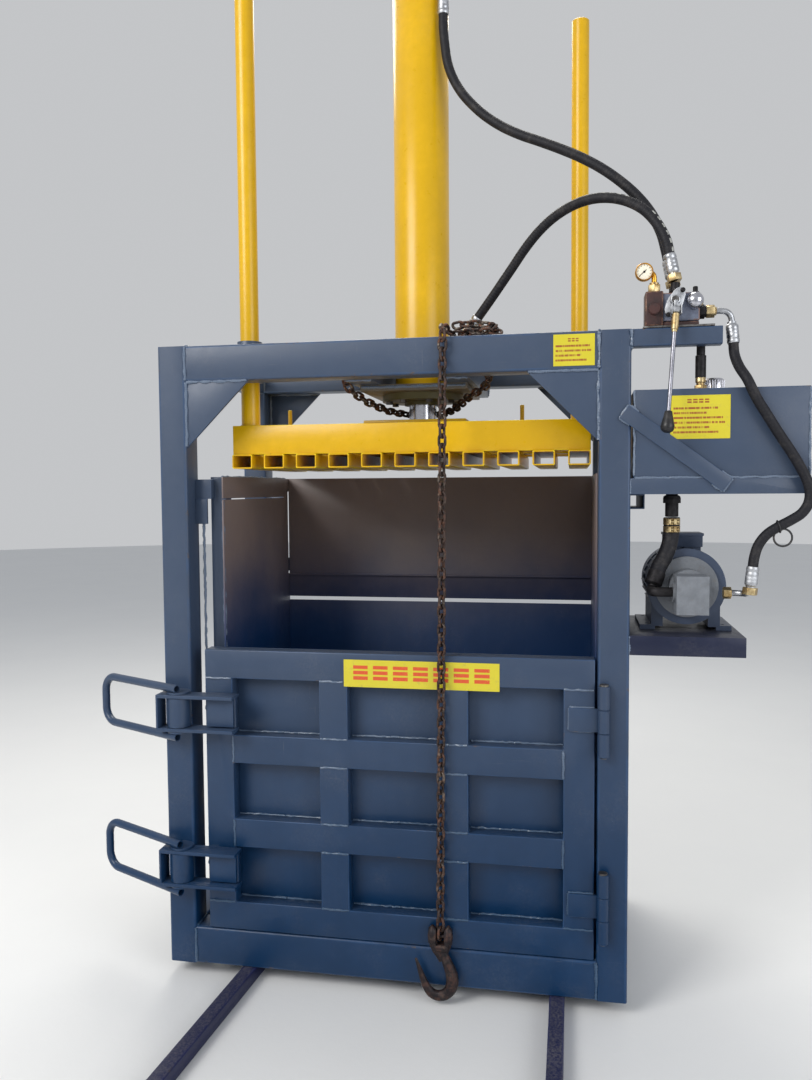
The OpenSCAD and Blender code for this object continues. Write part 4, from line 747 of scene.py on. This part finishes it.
ROUTES = {
    "upper_hose": (30, [
        (140, 330, 3105), (140, 330, 3060), (145, 328, 3005), (153, 325, 2950), (169, 320, 2900),
        (195, 311, 2850), (228, 300, 2805), (275, 286, 2755), (330, 270, 2710), (390, 252, 2672),
        (455, 232, 2638), (520, 211, 2602), (580, 190, 2565), (640, 171, 2522), (695, 155, 2474),
        (742, 142, 2424), (780, 131, 2370), (808, 124, 2312), (823, 121, 2256), (830, 120, 2222)]),
    "lower_hose": (30, [
        (248, 332, 2124), (288, 314, 2172), (328, 297, 2222), (366, 280, 2270), (406, 259, 2320),
        (450, 233, 2364), (498, 204, 2397), (552, 172, 2418), (608, 142, 2425), (664, 116, 2417),
        (715, 95, 2396), (760, 77, 2362), (795, 62, 2315), (817, 52, 2266), (826, 48, 2222)]),
    "pressure_hose": (28, [
        (1000, 38, 1974), (1003, 34, 1937), (1013, 14, 1900), (1030, -14, 1862), (1054, -17, 1810),
        (1082, -18, 1763), (1111, -18, 1715), (1142, -18, 1667), (1170, -19, 1619), (1192, -20, 1570),
        (1194, -21, 1528), (1177, -21, 1495), (1148, -20, 1474), (1116, -20, 1456), (1085, -20, 1434),
        (1063, -20, 1403), (1053, -20, 1368), (1050, -20, 1340)]),
}
for name, (d, route) in ROUTES.items():
    line = curve_through([at(*p) for p in route], 8)
    tube = swept(line, [d/2]*len(line), 24)
    hose = finish(name + "_line", "frame", {"hose": [tube]}, "hose_rubber", [name])
    length = sum((b - a).length for a, b in zip(line, line[1:]))

# Cylinder, guide tubes and rod

BARREL_R, BORE_R, BARREL_FOOT, BARREL_TOP = 92.5, 76.5, 1905, 3255
LOW_PORT_Z, HIGH_PORT_Z = 2056, 3207
CHANNELS_TOP, PAD_TOP, GUIDE_TOP = 1774, 1792, 3200
GUIDE_R, GUIDES_AT = 30, ((-475, 160), (579, 660))
ROD_R, ROD_LENGTH = 47.2, 1338


def weld_ring(points, width, seed):
    """A closed bead laid through points."""
    shift = Vector((seed, 0, 0))
    radii = [width/2*(0.85 + 0.3*(k % 2) + 0.3*noise.noise(p*60 + shift)) for k, p in enumerate(points)]
    return swept(points + points[:1], radii + radii[:1], 7)


def circle_at(x, y, z, r):
    count = int(tau*r/3.6)
    return [at(x + cos(k*tau/count)*r, y + sin(k*tau/count)*r, z) for k in range(count)]


def saddle(z, way, r):
    """The line where a boss of radius r, pointing along way, leaves the barrel."""
    along, count = Vector((-way.y, way.x, 0)), int(tau*r/3.6)
    line = []
    for k in range(count):
        u, v = cos(k*tau/count)*r, sin(k*tau/count)*r
        line.append(at(AXIS_X, AXIS_Y, z) + (way*sqrt(BARREL_R**2 - u*u) + along*u + UP*v)*MM)
    return line


tall = BARREL_TOP - BARREL_FOOT
wall = [(BORE_R, 0), (91, 0), (BARREL_R, 1.5), (BARREL_R, tall - 2), (91, tall), (BORE_R, tall), (BORE_R, 0)]
lid = [(0, 0), (91, 0), (BARREL_R, 2), (BARREL_R, 37), (89.5, 40), (30, 40), (30, 52), (28, 54), (0, 54)]
barrel = [turned(wall, at(AXIS_X, AXIS_Y, BARREL_FOOT), UP, 96),
          turned(lid, at(AXIS_X, AXIS_Y, BARREL_TOP), UP, 96)]
rings = [weld_ring(circle_at(AXIS_X, AXIS_Y, BARREL_TOP, BARREL_R), 7, 1)]
lower_start, lower_next = (Vector(p) for p in ROUTES["lower_hose"][1][:2])
lower_tip = lower_start + (lower_start - lower_next).normalized()*76
upper_start = Vector(ROUTES["upper_hose"][1][0])
for z, end in ((LOW_PORT_Z, lower_tip), (HIGH_PORT_Z, upper_start)):
    way = Vector((end.x - AXIS_X, end.y - AXIS_Y, 0)).normalized()
    middle = at(AXIS_X, AXIS_Y, z)
    barrel.append(rod(middle + way*0.08, middle + way*(BARREL_R + 10)*MM, 46, 2))
    rings.append(weld_ring(saddle(z, way, 24), 6, z))
finish("cylinder_tube", "frame", {"yellow": barrel + rings}, slot_of["barrel"], ["barrel", "end_cap"])

guides, rings = [], []
length = GUIDE_TOP - CHANNELS_TOP
pillar = [(25, 0), (GUIDE_R, 0), (GUIDE_R, length - 2), (28, length), (0, length)]
for k, (x, y) in enumerate(GUIDES_AT):
    guides.append(turned(pillar, at(x, y, CHANNELS_TOP), UP, 64))
    rings.append(weld_ring(circle_at(x, y, CHANNELS_TOP + 1, GUIDE_R), 7, k))
finish("guide_tubes_round", "ram", {"yellow": guides + rings}, slot_of["guide_tubes"], ["guide_tubes"])

chromed = turned([(0, 0), (ROD_R - 0.5, 0), (ROD_R, 0.5), (ROD_R, ROD_LENGTH), (0, ROD_LENGTH)],
                 at(AXIS_X, AXIS_Y, PAD_TOP), UP, 96)
rod_weld = weld_ring(circle_at(AXIS_X, AXIS_Y, PAD_TOP + 1, 48), 8, 5)
finish("chromed_rod", "ram", {"rod": [chromed], "yellow": [rod_weld]}, slot_of["rod"], ["rod"])

# Welds on the door, hinges, latches and tank

DOOR_X0, DOOR_X1, DOOR_Z0, DOOR_Z1, DOOR_Y = -582.0, 623.0, 169.0, 1067.0, -2.0
RAIL, CELL_W, CELL_H, RECESS = 90.0, 281.67, 179.33, 49
BAND_LEFT = -133
LATCH_ZS, HINGE_ZS = (876, 383), (336, 891)
face = DOOR_Y - 0.4
deep = DOOR_Y + RECESS
door_seams = []
for z in (DOOR_Z0 + RAIL, DOOR_Z1 - RAIL):
    for x0, x1 in ((DOOR_X0 + 3, DOOR_X0 + RAIL - 2), (DOOR_X1 - RAIL + 2, DOOR_X1 - 3)):
        door_seams.append(((x0, face, z), (x1, face, z)))
for i in range(3):
    x0 = DOOR_X0 + RAIL + i*(CELL_W + RAIL)
    x_mid = x0 + CELL_W/2
    for k in range(3):
        z0 = DOOR_Z0 + RAIL + k*(CELL_H + RAIL)
        door_seams.append(((x0 + 2, deep, z0 + 1), (x0 + CELL_W - 2, deep, z0 + 1)))
        door_seams.append(((x_mid - 14, deep - 3, z0 + 3), (x_mid + 12, deep - 3, z0 + 3)))
        for z in (z0, z0 + CELL_H) if i else ():
            under_band = z > DOOR_Z1 - RAIL - 5
            if not (under_band and i == 2):
                door_seams.append(((x0 - RAIL + 2, face, z), (BAND_LEFT if under_band else x0 - 2, face, z)))
for z in (DOOR_Z0 + RAIL + CELL_H, DOOR_Z0 + 2*RAIL + 2*CELL_H):
    for x in (DOOR_X0 + RAIL, DOOR_X1 - RAIL):
        door_seams.append(((x, face, z + 3), (x, face, z + RAIL - 3)))
for z in HINGE_ZS:
    for s in (-1, 1):
        door_seams.append(((549, -2.5, z + s*35), (622, -2.5, z + s*35)))
    door_seams.append(((548, -2.5, z - 33), (548, -2.5, z + 33)))
for z in LATCH_ZS:
    for s in (-1, 1):
        door_seams.append(((-558, -2.5, z + s*42.5), (-486, -2.5, z + s*42.5)))
    door_seams.append(((-559.5, -2.5, z - 40), (-559.5, -2.5, z + 40)))
finish("door_welds", "door", {"bead": seams(door_seams)}, "slate_paint")

more_seams = []
for z in HINGE_ZS:
    for k in (-69.5, 69.5):
        for x in (637.5, 658.5):
            more_seams.append(((x, -0.5, z + k - 30), (x, -0.5, z + k + 30)))
for z in LATCH_ZS:
    for x in (-676, -634):
        more_seams.append(((x, -0.5, z - 43), (x, -0.5, z + 43)))
for x in (729, 1199):
    more_seams.append(((x, 2.5, 1600), (x, 2.5, 1840)))
more_seams += [((732, 1.5, 1594), (1196, 1.5, 1594)), ((720.5, 3, 1548), (720.5, 3, 1591)),
               ((720.5, 3, 1086), (720.5, 3, 1139)), ((-540, 64, 1610), (-540, 700, 1610))]
finish("fixture_welds", "frame", {"bead": seams(more_seams)}, "slate_paint")

# Hinges: two knuckles on the frame and one on the door at each height

HINGE_X, HINGE_Y, HINGE_D, KNUCKLE = 648, -20, 34, 34.5


def knuckle(z):
    return rod(at(HINGE_X, HINGE_Y, z - KNUCKLE), at(HINGE_X, HINGE_Y, z + KNUCKLE), HINGE_D, 2.4)


knuckles, leaves = [], []
for z in HINGE_ZS:
    for k in (-69.5, 69.5):
        knuckles += [knuckle(z + k), block((638, -14, z + k - 33), (658, 0, z + k + 33), 1.5)]
    leaves += [knuckle(z), block((548, -12, z - KNUCKLE), (640, -2, z + KNUCKLE), 1.8)]
finish("hinge_barrels", "frame", {"slate": knuckles}, "slate_paint", ["hinge_knuckles"])
finish("hinge_plates", "door", {"slate": leaves}, "slate_paint", ["hinge_leaves"])

# Labels: yellow film with plain bars


def label(name, body, corner, width, height, cut, rows, ink, replaced, **heading):
    x, y, z = corner
    paint[name] = film(name + "_film", at(*corner), width*MM, height*MM, rows, heading, ink)
    plate = block((x, y - 1.0, z), (x + width, y + 0.1, z + height), 0.3, 1)
    bmesh.ops.subdivide_edges(plate, edges=[e for e in plate.edges if e.calc_length() > 0.03], cuts=cut,
                              use_grid_fill=True)
    for v in plate.verts:
        v.co.y -= (noise.noise(v.co*9) + 1.0)*0.0002
    return finish(name, body, {name: [plate]}, "label_film", replaced)


BROWN_INK, RED_INK = srgb(146, 62, 26), srgb(206, 54, 30)
label("beam_label", "frame", (501, 0, 1916), 117, 90, 6, 4, BROWN_INK, ["frame_labels"],
      band=(0.74, 0.88), start=0.34, end=0.62, blocks=3, strokes=2)
label("tank_label", "frame", (827, 2, 1702), 162, 122, 6, 6, BROWN_INK, ["frame_labels"],
      band=(0.8, 0.92), start=0.27, end=0.66, blocks=4, strokes=2)
label("door_band", "door", (-130, -2, 964), 476, 84, 8, 0, RED_INK, ["door_label"],
      band=(0.2, 0.8), start=0.045, end=0.955, blocks=7, strokes=3)

# Hose ends, elbows and the suction line

VALVE_TOP, VALVE_PORT_Z, PUMP_PORT_Z = 2121, 2061, 1266
SUCTION_D = 46


def end_way(route, last):
    """The direction in which a route leaves its first or last point."""
    a, b = (route[-2], route[-1]) if last else (route[1], route[0])
    return (Vector(b) - Vector(a)).normalized()


def route_end(name, last):
    route = ROUTES[name][1]
    return at(*route[-1 if last else 0]), end_way(route, last)


def under(point, z):
    """The place at height z that is plumb with point."""
    return Vector((point.x, point.y, z*MM))


silver, brassy, dark = [], [], []
for name, (d, route) in ROUTES.items():
    for last in (False, True):
        tip, way = route_end(name, last)
        silver.append(crimped(tip, way, d))
        if last or name != "pressure_hose":
            brassy.append(hexagon(tip + way*54*MM, tip + way*74*MM, 36))

tip, way = route_end("upper_hose", False)
silver.append(pipe([tip + way*74*MM, at(140, 330, 3196), at(137, 333, 3206), at(130, 339, 3207)], 20, 4))
dark.append(rod(at(118, 350, HIGH_PORT_Z), at(140, 330, HIGH_PORT_Z), 26))

tip, way = route_end("upper_hose", True)
low = tip + way*72*MM
dark.append(rod(under(low, VALVE_TOP), low + way*6*MM, 27))
brassy.append(hexagon(under(low, VALVE_TOP - 0.5), under(low, VALVE_TOP + 10), 34))

tip, way = route_end("lower_hose", True)
low = tip + way*72*MM
dark.append(rod(under(low, VALVE_TOP), low + way*6*MM, 26))

tip, way = route_end("lower_hose", False)
low = tip + way*72*MM
silver.append(pipe([low, low + way*14*MM, at(192, 356, 2056.5), at(180, 361, LOW_PORT_Z)], 20, 4))
dark.append(rod(at(146, 373.5, LOW_PORT_Z), at(192, 357, LOW_PORT_Z), 26))

tip, way = route_end("pressure_hose", False)
silver.append(pipe([at(950, 38, VALVE_PORT_Z), at(966, 38, VALVE_PORT_Z), at(980, 39, 2058),
                    at(990, 41, 2050), at(995, 43, 2038), tip + way*52*MM], 17, 3))
brassy.append(hexagon(at(925, 38, VALVE_PORT_Z), at(948, 38, VALVE_PORT_Z), 32))
brassy.append(rod(at(946, 38, VALVE_PORT_Z), at(953, 38, VALVE_PORT_Z), 24))

tip, way = route_end("pressure_hose", True)
silver.append(pipe([tip + way*72*MM, at(1041, -19, 1276), at(1036, -6, 1267), at(1030, 10, PUMP_PORT_Z),
                    at(1010, 20, PUMP_PORT_Z), at(984, 20, PUMP_PORT_Z)], 17, 4))
brassy.append(hexagon(at(978, 20, PUMP_PORT_Z), at(1000, 20, PUMP_PORT_Z), 30))

suction = [(844, 100, 1478), (844, 100, 1440), (838, 97, 1400), (824, 90, 1362), (808, 82, 1334),
           (800, 74, 1312)]
suction_line = curve_through([at(*p) for p in suction], 6)
foot, way = at(*suction[-1]), end_way(suction, True)
dark += [turned([(22, -8), (25, -6), (25, 30), (21, 34), (14, 36), (14, 50), (0, 50)], foot, way),
         pipe([foot + way*48*MM, at(784, 56, 1270), at(784, 40, PUMP_PORT_Z), at(792, 22, PUMP_PORT_Z),
               at(812, 20, PUMP_PORT_Z), at(846, 20, PUMP_PORT_Z)], 28, 5)]
finish("hose_ends", "frame", {"zinc": silver, "brass": brassy, "dark": dark}, "zinc_steel", ["hose_fittings"])
finish("suction_line", "frame", {"hose": [swept(suction_line, [SUCTION_D/2]*len(suction_line), 28)]},
       "hose_rubber", ["suction_hose"])


def clamp(centre, direction, r):
    """A T-bolt hose clamp: a band with a rolled lip each side and its bolt across the gap."""
    band = [(r, -9), (r + 1.8, -9), (r + 1.2, -7), (r + 1.2, 7), (r + 1.8, 9), (r, 9), (r, -9)]
    gap = centre + FRONT*(r + 6)*MM
    parts = [turned(band, centre, direction), rod(gap - RIGHT*16*MM, gap + RIGHT*20*MM, 6),
             hexagon(gap + RIGHT*12*MM, gap + RIGHT*17*MM, 10, 0.6)]
    for x in (-9, 7):
        trunnion = gap + RIGHT*x*MM
        parts.append(rod(trunnion - UP*8*MM, trunnion + UP*8*MM, 11))
    return joined(*parts)


# Tank fittings: the filler neck and its cap, the return line and the suction outlet

CAP_X, CAP_Y, TANK_TOP = 965, 150, 1843
SUCTION_X, SUCTION_Y = 844, 100
RETURN_X, RETURN_Y = 917, 70
neck = at(CAP_X, CAP_Y, TANK_TOP)
silver = [turned([(16, -15), (33, 0), (33, 7), (31, 8), (22, 8), (22, 22), (18, 22), (18, -15)], neck, UP)]
silver += [bolt(neck + Vector((cos(a)*0.028, sin(a)*0.028, 0.006)), UP, 7, 3, False)
           for a in (0.3, 1.56, 2.8, 4.1, 5.3)]
brassy = [clamp(at(SUCTION_X, SUCTION_Y, z), UP, SUCTION_D/2) for z in (1466, 1444)]
brassy += [hexagon(at(RETURN_X, RETURN_Y, TANK_TOP), at(RETURN_X, RETURN_Y, TANK_TOP + 15), 32),
           turned([(12, 0), (12, 8), (14.5, 10), (14.5, 24), (12, 27), (0, 27)],
                  at(RETURN_X, RETURN_Y, TANK_TOP + 14), UP)]
dark = [hexagon(at(SUCTION_X, SUCTION_Y, 1520), at(SUCTION_X, SUCTION_Y, 1537), 48),
        turned([(17, 0), (19, 2), (19, 40), (24, 44), (24, 60), (17, 64), (17, 112), (0, 112)],
               at(SUCTION_X, SUCTION_Y, 1480), UP),
        turned([(15, 0), (15, 62), (12, 64), (12, 128), (0, 128)], at(RETURN_X, RETURN_Y, 1880), UP)]
finish("tank_ports", "frame", {"zinc": silver, "brass": brassy, "dark": dark}, "zinc_steel",
       ["tank_fittings"])

CAP_RIBS, RIB_CIRCLE = 24, 0.0302
cap = [turned([(22.2, 1), (30.5, 1), (30.5, 29), (29, 31), (26, 31.5), (25, 34), (0, 34.4)],
              at(CAP_X, CAP_Y, 1851), UP, 48)]
for k in range(CAP_RIBS):
    out = Vector((cos(k*tau/CAP_RIBS), sin(k*tau/CAP_RIBS), 0))*RIB_CIRCLE
    cap.append(rod(at(CAP_X, CAP_Y, 1854) + out, at(CAP_X, CAP_Y, 1879) + out, 2.4, 0.4))
finish("ribbed_cap", "tank_cap", {"chrome": cap}, "zinc_steel", ["tank_cap"])

# The rubber tie on the pressure hose: a ring round the hose and a hanging ring
tie = [at(1116, -20, 1456) + Vector((cos(a)*0.004, sin(a)*0.0162, cos(a)*-0.0162))
       for a in (k*tau/24 for k in range(25))]
tail = [at(1127, -22, 1426) + Vector((cos(a), 0, sin(a)))*0.024 for a in (k*tau/28 for k in range(29))]
finish("hose_tie", "frame", {"rubber": [swept(tie, [2.2]*25, 8), swept(tail, [2.8]*29, 8)]}, "hose_rubber")

# Valve

castings = [block((757, 5, 2021), (806, 73, 2118), 4, 3), block((806, 44, 2027), (868, 146, 2120), 5, 3),
            block((790, 12, 2020), (904, 82, 2032), 3), block((868, 40, 2032), (904, 78, 2066), 4, 3),
            turned([(17, 0), (17, 8), (14, 11), (0, 11)], at(782, 4, 2068), FRONT, 28)]
grey = [block((801, 13, 2034), (906, 46, 2113), 4, 3), block((880, 22, 2026), (902, 44, 2036), 2)]
base = block((751, -1, 2015), (945, 93, 2020.5), 1)
finish("valve_castings", "frame", {"maroon": castings, "block": grey, "steel": [base]},
       "maroon_casting", ["valve_body"])

COVER_CORNER, COVER_DEPTH = (756, 2, 2021), 0.011
outline = [(52, 40), (60, 27), (74, 22), (92, 28), (104, 62), (110, 84), (107, 99), (96, 106), (82, 101),
           (60, 70)]
cover = bmesh.new()
cover_face = cover.faces.new([cover.verts.new(at(*COVER_CORNER) + Vector((x, 0, z))*MM) for x, z in outline])
grown = bmesh.ops.extrude_face_region(cover, geom=[cover_face])["geom"]
bmesh.ops.translate(cover, vec=(0, COVER_DEPTH, 0),
                    verts=[g for g in grown if isinstance(g, bmesh.types.BMVert)])
bmesh.ops.recalc_face_normals(cover, faces=cover.faces[:])
rounded(cover, [e for e in cover.edges if abs((e.verts[0].co - e.verts[1].co).y) > COVER_DEPTH/2], 7, 4)
rounded(cover, [e for e in cover.edges if e.calc_face_angle(0) > 0.9], 1.2, 2)
plated = [cover, turned([(12.2, 0), (14, 0), (14.5, 2), (12.5, 5), (12.5, 14), (11, 15), (9.6, 15)],
                        at(837, 2, 2089), FRONT)]
plated += [block((x, -38, 2045), (x + 2.5, 3, 2073), 1) for x in (824, 849.5)]
dome = turned([(24, 0), (24, 12), (22.5, 20), (19, 27), (13, 32), (6, 34.4), (0, 35)],
              at(892, 20, 2087), FRONT, 48)
black = [bolt(at(858, 2, 2117), FRONT, 10, 5), bolt(at(819, 2, 2050), FRONT, 10, 5),
         turned([(7, 0), (7, 20), (5.5, 22), (4, 22), (4, 18), (0, 18)], at(897, 46, 2112), UP, 24),
         hexagon(at(897, 46, 2112), at(897, 46, 2119), 19, 0.8),
         hexagon(at(904, 38, VALVE_PORT_Z), at(921, 38, VALVE_PORT_Z), 36),
         turned([(16, 0), (16, 6), (0, 6)], at(920, 38, VALVE_PORT_Z), RIGHT)]
black += [rod(at(837, -14, 2089) - ray, at(837, -14, 2089) + ray, 5) for ray in (RIGHT*9*MM, UP*9*MM)]
black += [bolt(at(812, y, 2074), -RIGHT, 10, 5) for y in (60, 84, 108, 132)]
finish("valve_front", "frame", {"zinc": plated, "chrome": [dome], "dark": black},
       "zinc_steel", ["valve_cover"])

# Pressure gauge

gauge_at, stem = at(755, 46, 2178), at(783, 38, 2119)
case = turned([(0, 0), (22, 0), (25, 3), (25, 20), (24, 22), (22.5, 22), (21.5, 18), (21.5, 17)],
              gauge_at, FRONT, 48)
dial = turned([(22, 17.2), (0, 17.2)], gauge_at, FRONT, 48)
marks = [rod(gauge_at + Vector((0.006, -0.0185, 0.006)), gauge_at + Vector((-0.014, -0.0185, -0.012)), 1.6),
         rod(gauge_at + FRONT*0.017, gauge_at + FRONT*0.0195, 6)]
for k in range(11):
    a = radians(225 - k*27)
    ray = Vector((cos(a), 0, sin(a)))
    on_dial = gauge_at + FRONT*0.0174
    marks.append(rod(on_dial + ray*0.0165, on_dial + ray*0.0202, 1.1, 0.1))
bend = [stem + UP*0.02, stem + UP*0.042, stem + Vector((-0.003, 0, 0.052)), stem + Vector((-0.012, 0, 0.058)),
        gauge_at + Vector((0.012, -0.008, 0)), gauge_at + Vector((0.002, -0.008, 0))]
brassy = [hexagon(stem - UP*0.0005, stem + UP*0.022, 32),
          turned([(13, 0), (13, 6), (9, 8), (0, 8)], stem + UP*0.022, UP)]
finish("pressure_gauge", "frame",
       {"gold": [case, pipe(bend, 15, 3)], "brass": brassy, "dial": [dial], "dark": marks},
       "brass_fitting", ["gauge"])

# Lever with its fork, socket and knob

pivot = at(837, -26, 2059)
lean = Matrix.Rotation(radians(4.5), 3, "Y") @ Matrix.Rotation(radians(-10), 3, "X")
down = lean @ -UP
pear = [(0, 0), (9, 1), (15, 5), (18, 11), (19, 18), (17.5, 26), (13.5, 42), (10.5, 58), (9.5, 60), (0, 60)]
grip = turned(pear, pivot + down*0.35, -down, 40)
stick = rod(pivot + down*0.05, pivot + down*0.295, 11.6)
socket = [rod(pivot + down*0.012, pivot + down*0.06, 20, 2), rod(pivot + down*0.056, pivot + down*0.066, 15)]
fork = [rod(pivot - RIGHT*0.009, pivot + RIGHT*0.009, 22), rod(pivot - RIGHT*0.0158, pivot + RIGHT*0.0158, 8),
        block((831, -32, 2059), (843, -25, 2084), 2)]
finish("lever_and_knob", "valve_lever", {"lever": [stick], "zinc": fork, "brass": socket, "knob": [grip]},
       "lever_steel", ["valve_lever"])

# Forged hook: its point, bend and shank in one sweep, and the two legs of its eye

low_corner, high_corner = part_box("hook")
outline = [(4, -22), (9, -50), (20, -80), (32, -110), (36, -139), (29, -165), (11, -182), (-11, -186),
           (-30, -178), (-44, -160), (-54, -138), (-63, -112), (-71, -90), (-76, -76)]
widths = [30, 25, 28, 34, 38, 38, 35, 33, 30, 26, 22, 17, 12, 7]
pin = Vector((high_corner.x - 0.055, (low_corner.y + high_corner.y)/2, high_corner.z - 0.02))
forged = curve_through([pin + Vector((x, 0, z))*MM for x, z in outline], 5)
radii = []
for k in range(len(forged)):
    place_on = k/(len(forged) - 1)*(len(widths) - 1)
    i = min(int(place_on), len(widths) - 2)
    radii.append((widths[i] + (widths[i + 1] - widths[i])*(place_on - i))/2)
parts = [swept(forged, radii, 20, 0.86)]
for s in (-1, 1):
    outer, inner = pin + RIGHT*s*0.0355, pin + RIGHT*s*0.0125
    leg = curve_through([pin + Vector((x, 0, z))*MM
                         for x, z in ((s*24, -8), (s*22, -22), (s*15, -40), (s*5 + 4, -60), (7, -74))], 5)
    for shape in (rod(inner, outer, 66, 10), swept(leg, [13]*len(leg), 16)):
        for v in shape.verts:
            v.co.y = pin.y + (v.co.y - pin.y)*0.62
        parts.append(shape)
    parts += [rod(outer - RIGHT*s*0.002, outer + RIGHT*s*0.002, 19, 1.5),
              solid(pin + Vector((s*0.0195, 0, -0.02)), (0.014, 0.028, 0.04), 4, 3)]
parts += [solid(pin - UP*0.035, (0.05, 0.027, 0.022), 7, 4), rod(pin - RIGHT*0.028, pin + RIGHT*0.028, 11)]
finish("forged_hook", "frame", {"hook": parts}, "rusty_iron", ["hook"])

# Camera at the photograph's viewing angle

CAMERA = Vector((0.4515, -2.7937, 1.566))
YAW, PITCH, ROLL = radians(10.596), radians(-3.253), radians(-0.406)
FOCAL_PIXELS, PHOTO_HEIGHT, SENSOR = 891.6, 1080, 36.0
ahead = Vector((-sin(YAW)*cos(PITCH), cos(YAW)*cos(PITCH), sin(PITCH)))
level = ahead.cross(UP).normalized()
upright = level.cross(ahead)
right, up = level*cos(ROLL) + upright*sin(ROLL), upright*cos(ROLL) - level*sin(ROLL)
lens = bpy.data.cameras.new("photo_camera")
lens.sensor_fit = "AUTO"
lens.sensor_width = SENSOR
lens.lens = FOCAL_PIXELS/PHOTO_HEIGHT*SENSOR
lens.clip_end = 100
camera = bpy.data.objects.new("photo_camera", lens)
camera.matrix_world = Matrix.Translation(CAMERA) @ Matrix((right, up, -ahead)).transposed().to_4x4()
bpy.context.scene.collection.objects.link(camera)
bpy.context.scene.camera = camera

# Soft studio light

SOFTBOX = 3.0


def lamp(name, place, target, watts, colour):
    light = bpy.data.lights.new(name, "AREA")
    light.shape = "SQUARE"
    light.size = SOFTBOX
    light.energy = watts
    light.color = colour
    holder = bpy.data.objects.new(name, light)
    holder.matrix_world = standing(Vector(place), Vector(place) - Vector(target))
    bpy.context.scene.collection.objects.link(holder)


lamp("key_softbox", (-3.6, -4.6, 4.8), (0, 0, 1.3), 300, (1.0, 0.985, 0.96))
lamp("fill_softbox", (4.4, -3.4, 2.6), (0.2, 0, 1.2), 110, (0.95, 0.97, 1.0))
lamp("top_softbox", (-0.6, 2.4, 5.6), (0, 0, 1.6), 190, (1.0, 0.97, 0.9))

# The world: a weak even light, and a pale backdrop for the camera and for reflections
world = bpy.data.worlds.new("studio")
bpy.context.scene.world = world
world.use_nodes = True
tree = world.node_tree
tree.nodes.clear()
even_light = tree.nodes.new("ShaderNodeBackground")
even_light.inputs["Color"].default_value = (0.9, 0.94, 1.0, 1.0)
even_light.inputs["Strength"].default_value = 0.55
backdrop = tree.nodes.new("ShaderNodeBackground")
backdrop.inputs["Color"].default_value = (0.55, 0.56, 0.575, 1.0)
backdrop.inputs["Strength"].default_value = 1.0
rays = tree.nodes.new("ShaderNodeLightPath")
either = tree.nodes.new("ShaderNodeMath")
either.operation = "MAXIMUM"
switch = tree.nodes.new("ShaderNodeMixShader")
output = tree.nodes.new("ShaderNodeOutputWorld")
tree.links.new(rays.outputs["Is Camera Ray"], either.inputs[0])
tree.links.new(rays.outputs["Is Glossy Ray"], either.inputs[1])
tree.links.new(either.outputs[0], switch.inputs[0])
tree.links.new(even_light.outputs[0], switch.inputs[1])
tree.links.new(backdrop.outputs[0], switch.inputs[2])
tree.links.new(switch.outputs[0], output.inputs[0])

# Pale floor

FLOOR_R = 24
concrete = Finish("pale_floor")
tone = concrete.cloud(1.1, 6, 0.65)
concrete.put(Base_Color=concrete.mixed(tone, (0.7, 0.7, 0.7), (0.76, 0.76, 0.75)), Roughness=tone*0.1 + 0.72)
concrete.relief((concrete.cloud(40, 4, 0.6), 0.6))
floor = bmesh.new()
bmesh.ops.create_circle(floor, cap_ends=True, radius=FLOOR_R, segments=64)
floor_mesh = bpy.data.meshes.new("floor")
floor.to_mesh(floor_mesh)
floor.free()
floor_mesh.materials.append(concrete.material)
floor_piece = bpy.data.objects.new("floor", floor_mesh)
bpy.context.scene.collection.objects.link(floor_piece)

bpy.context.scene.view_settings.view_transform = "Standard"
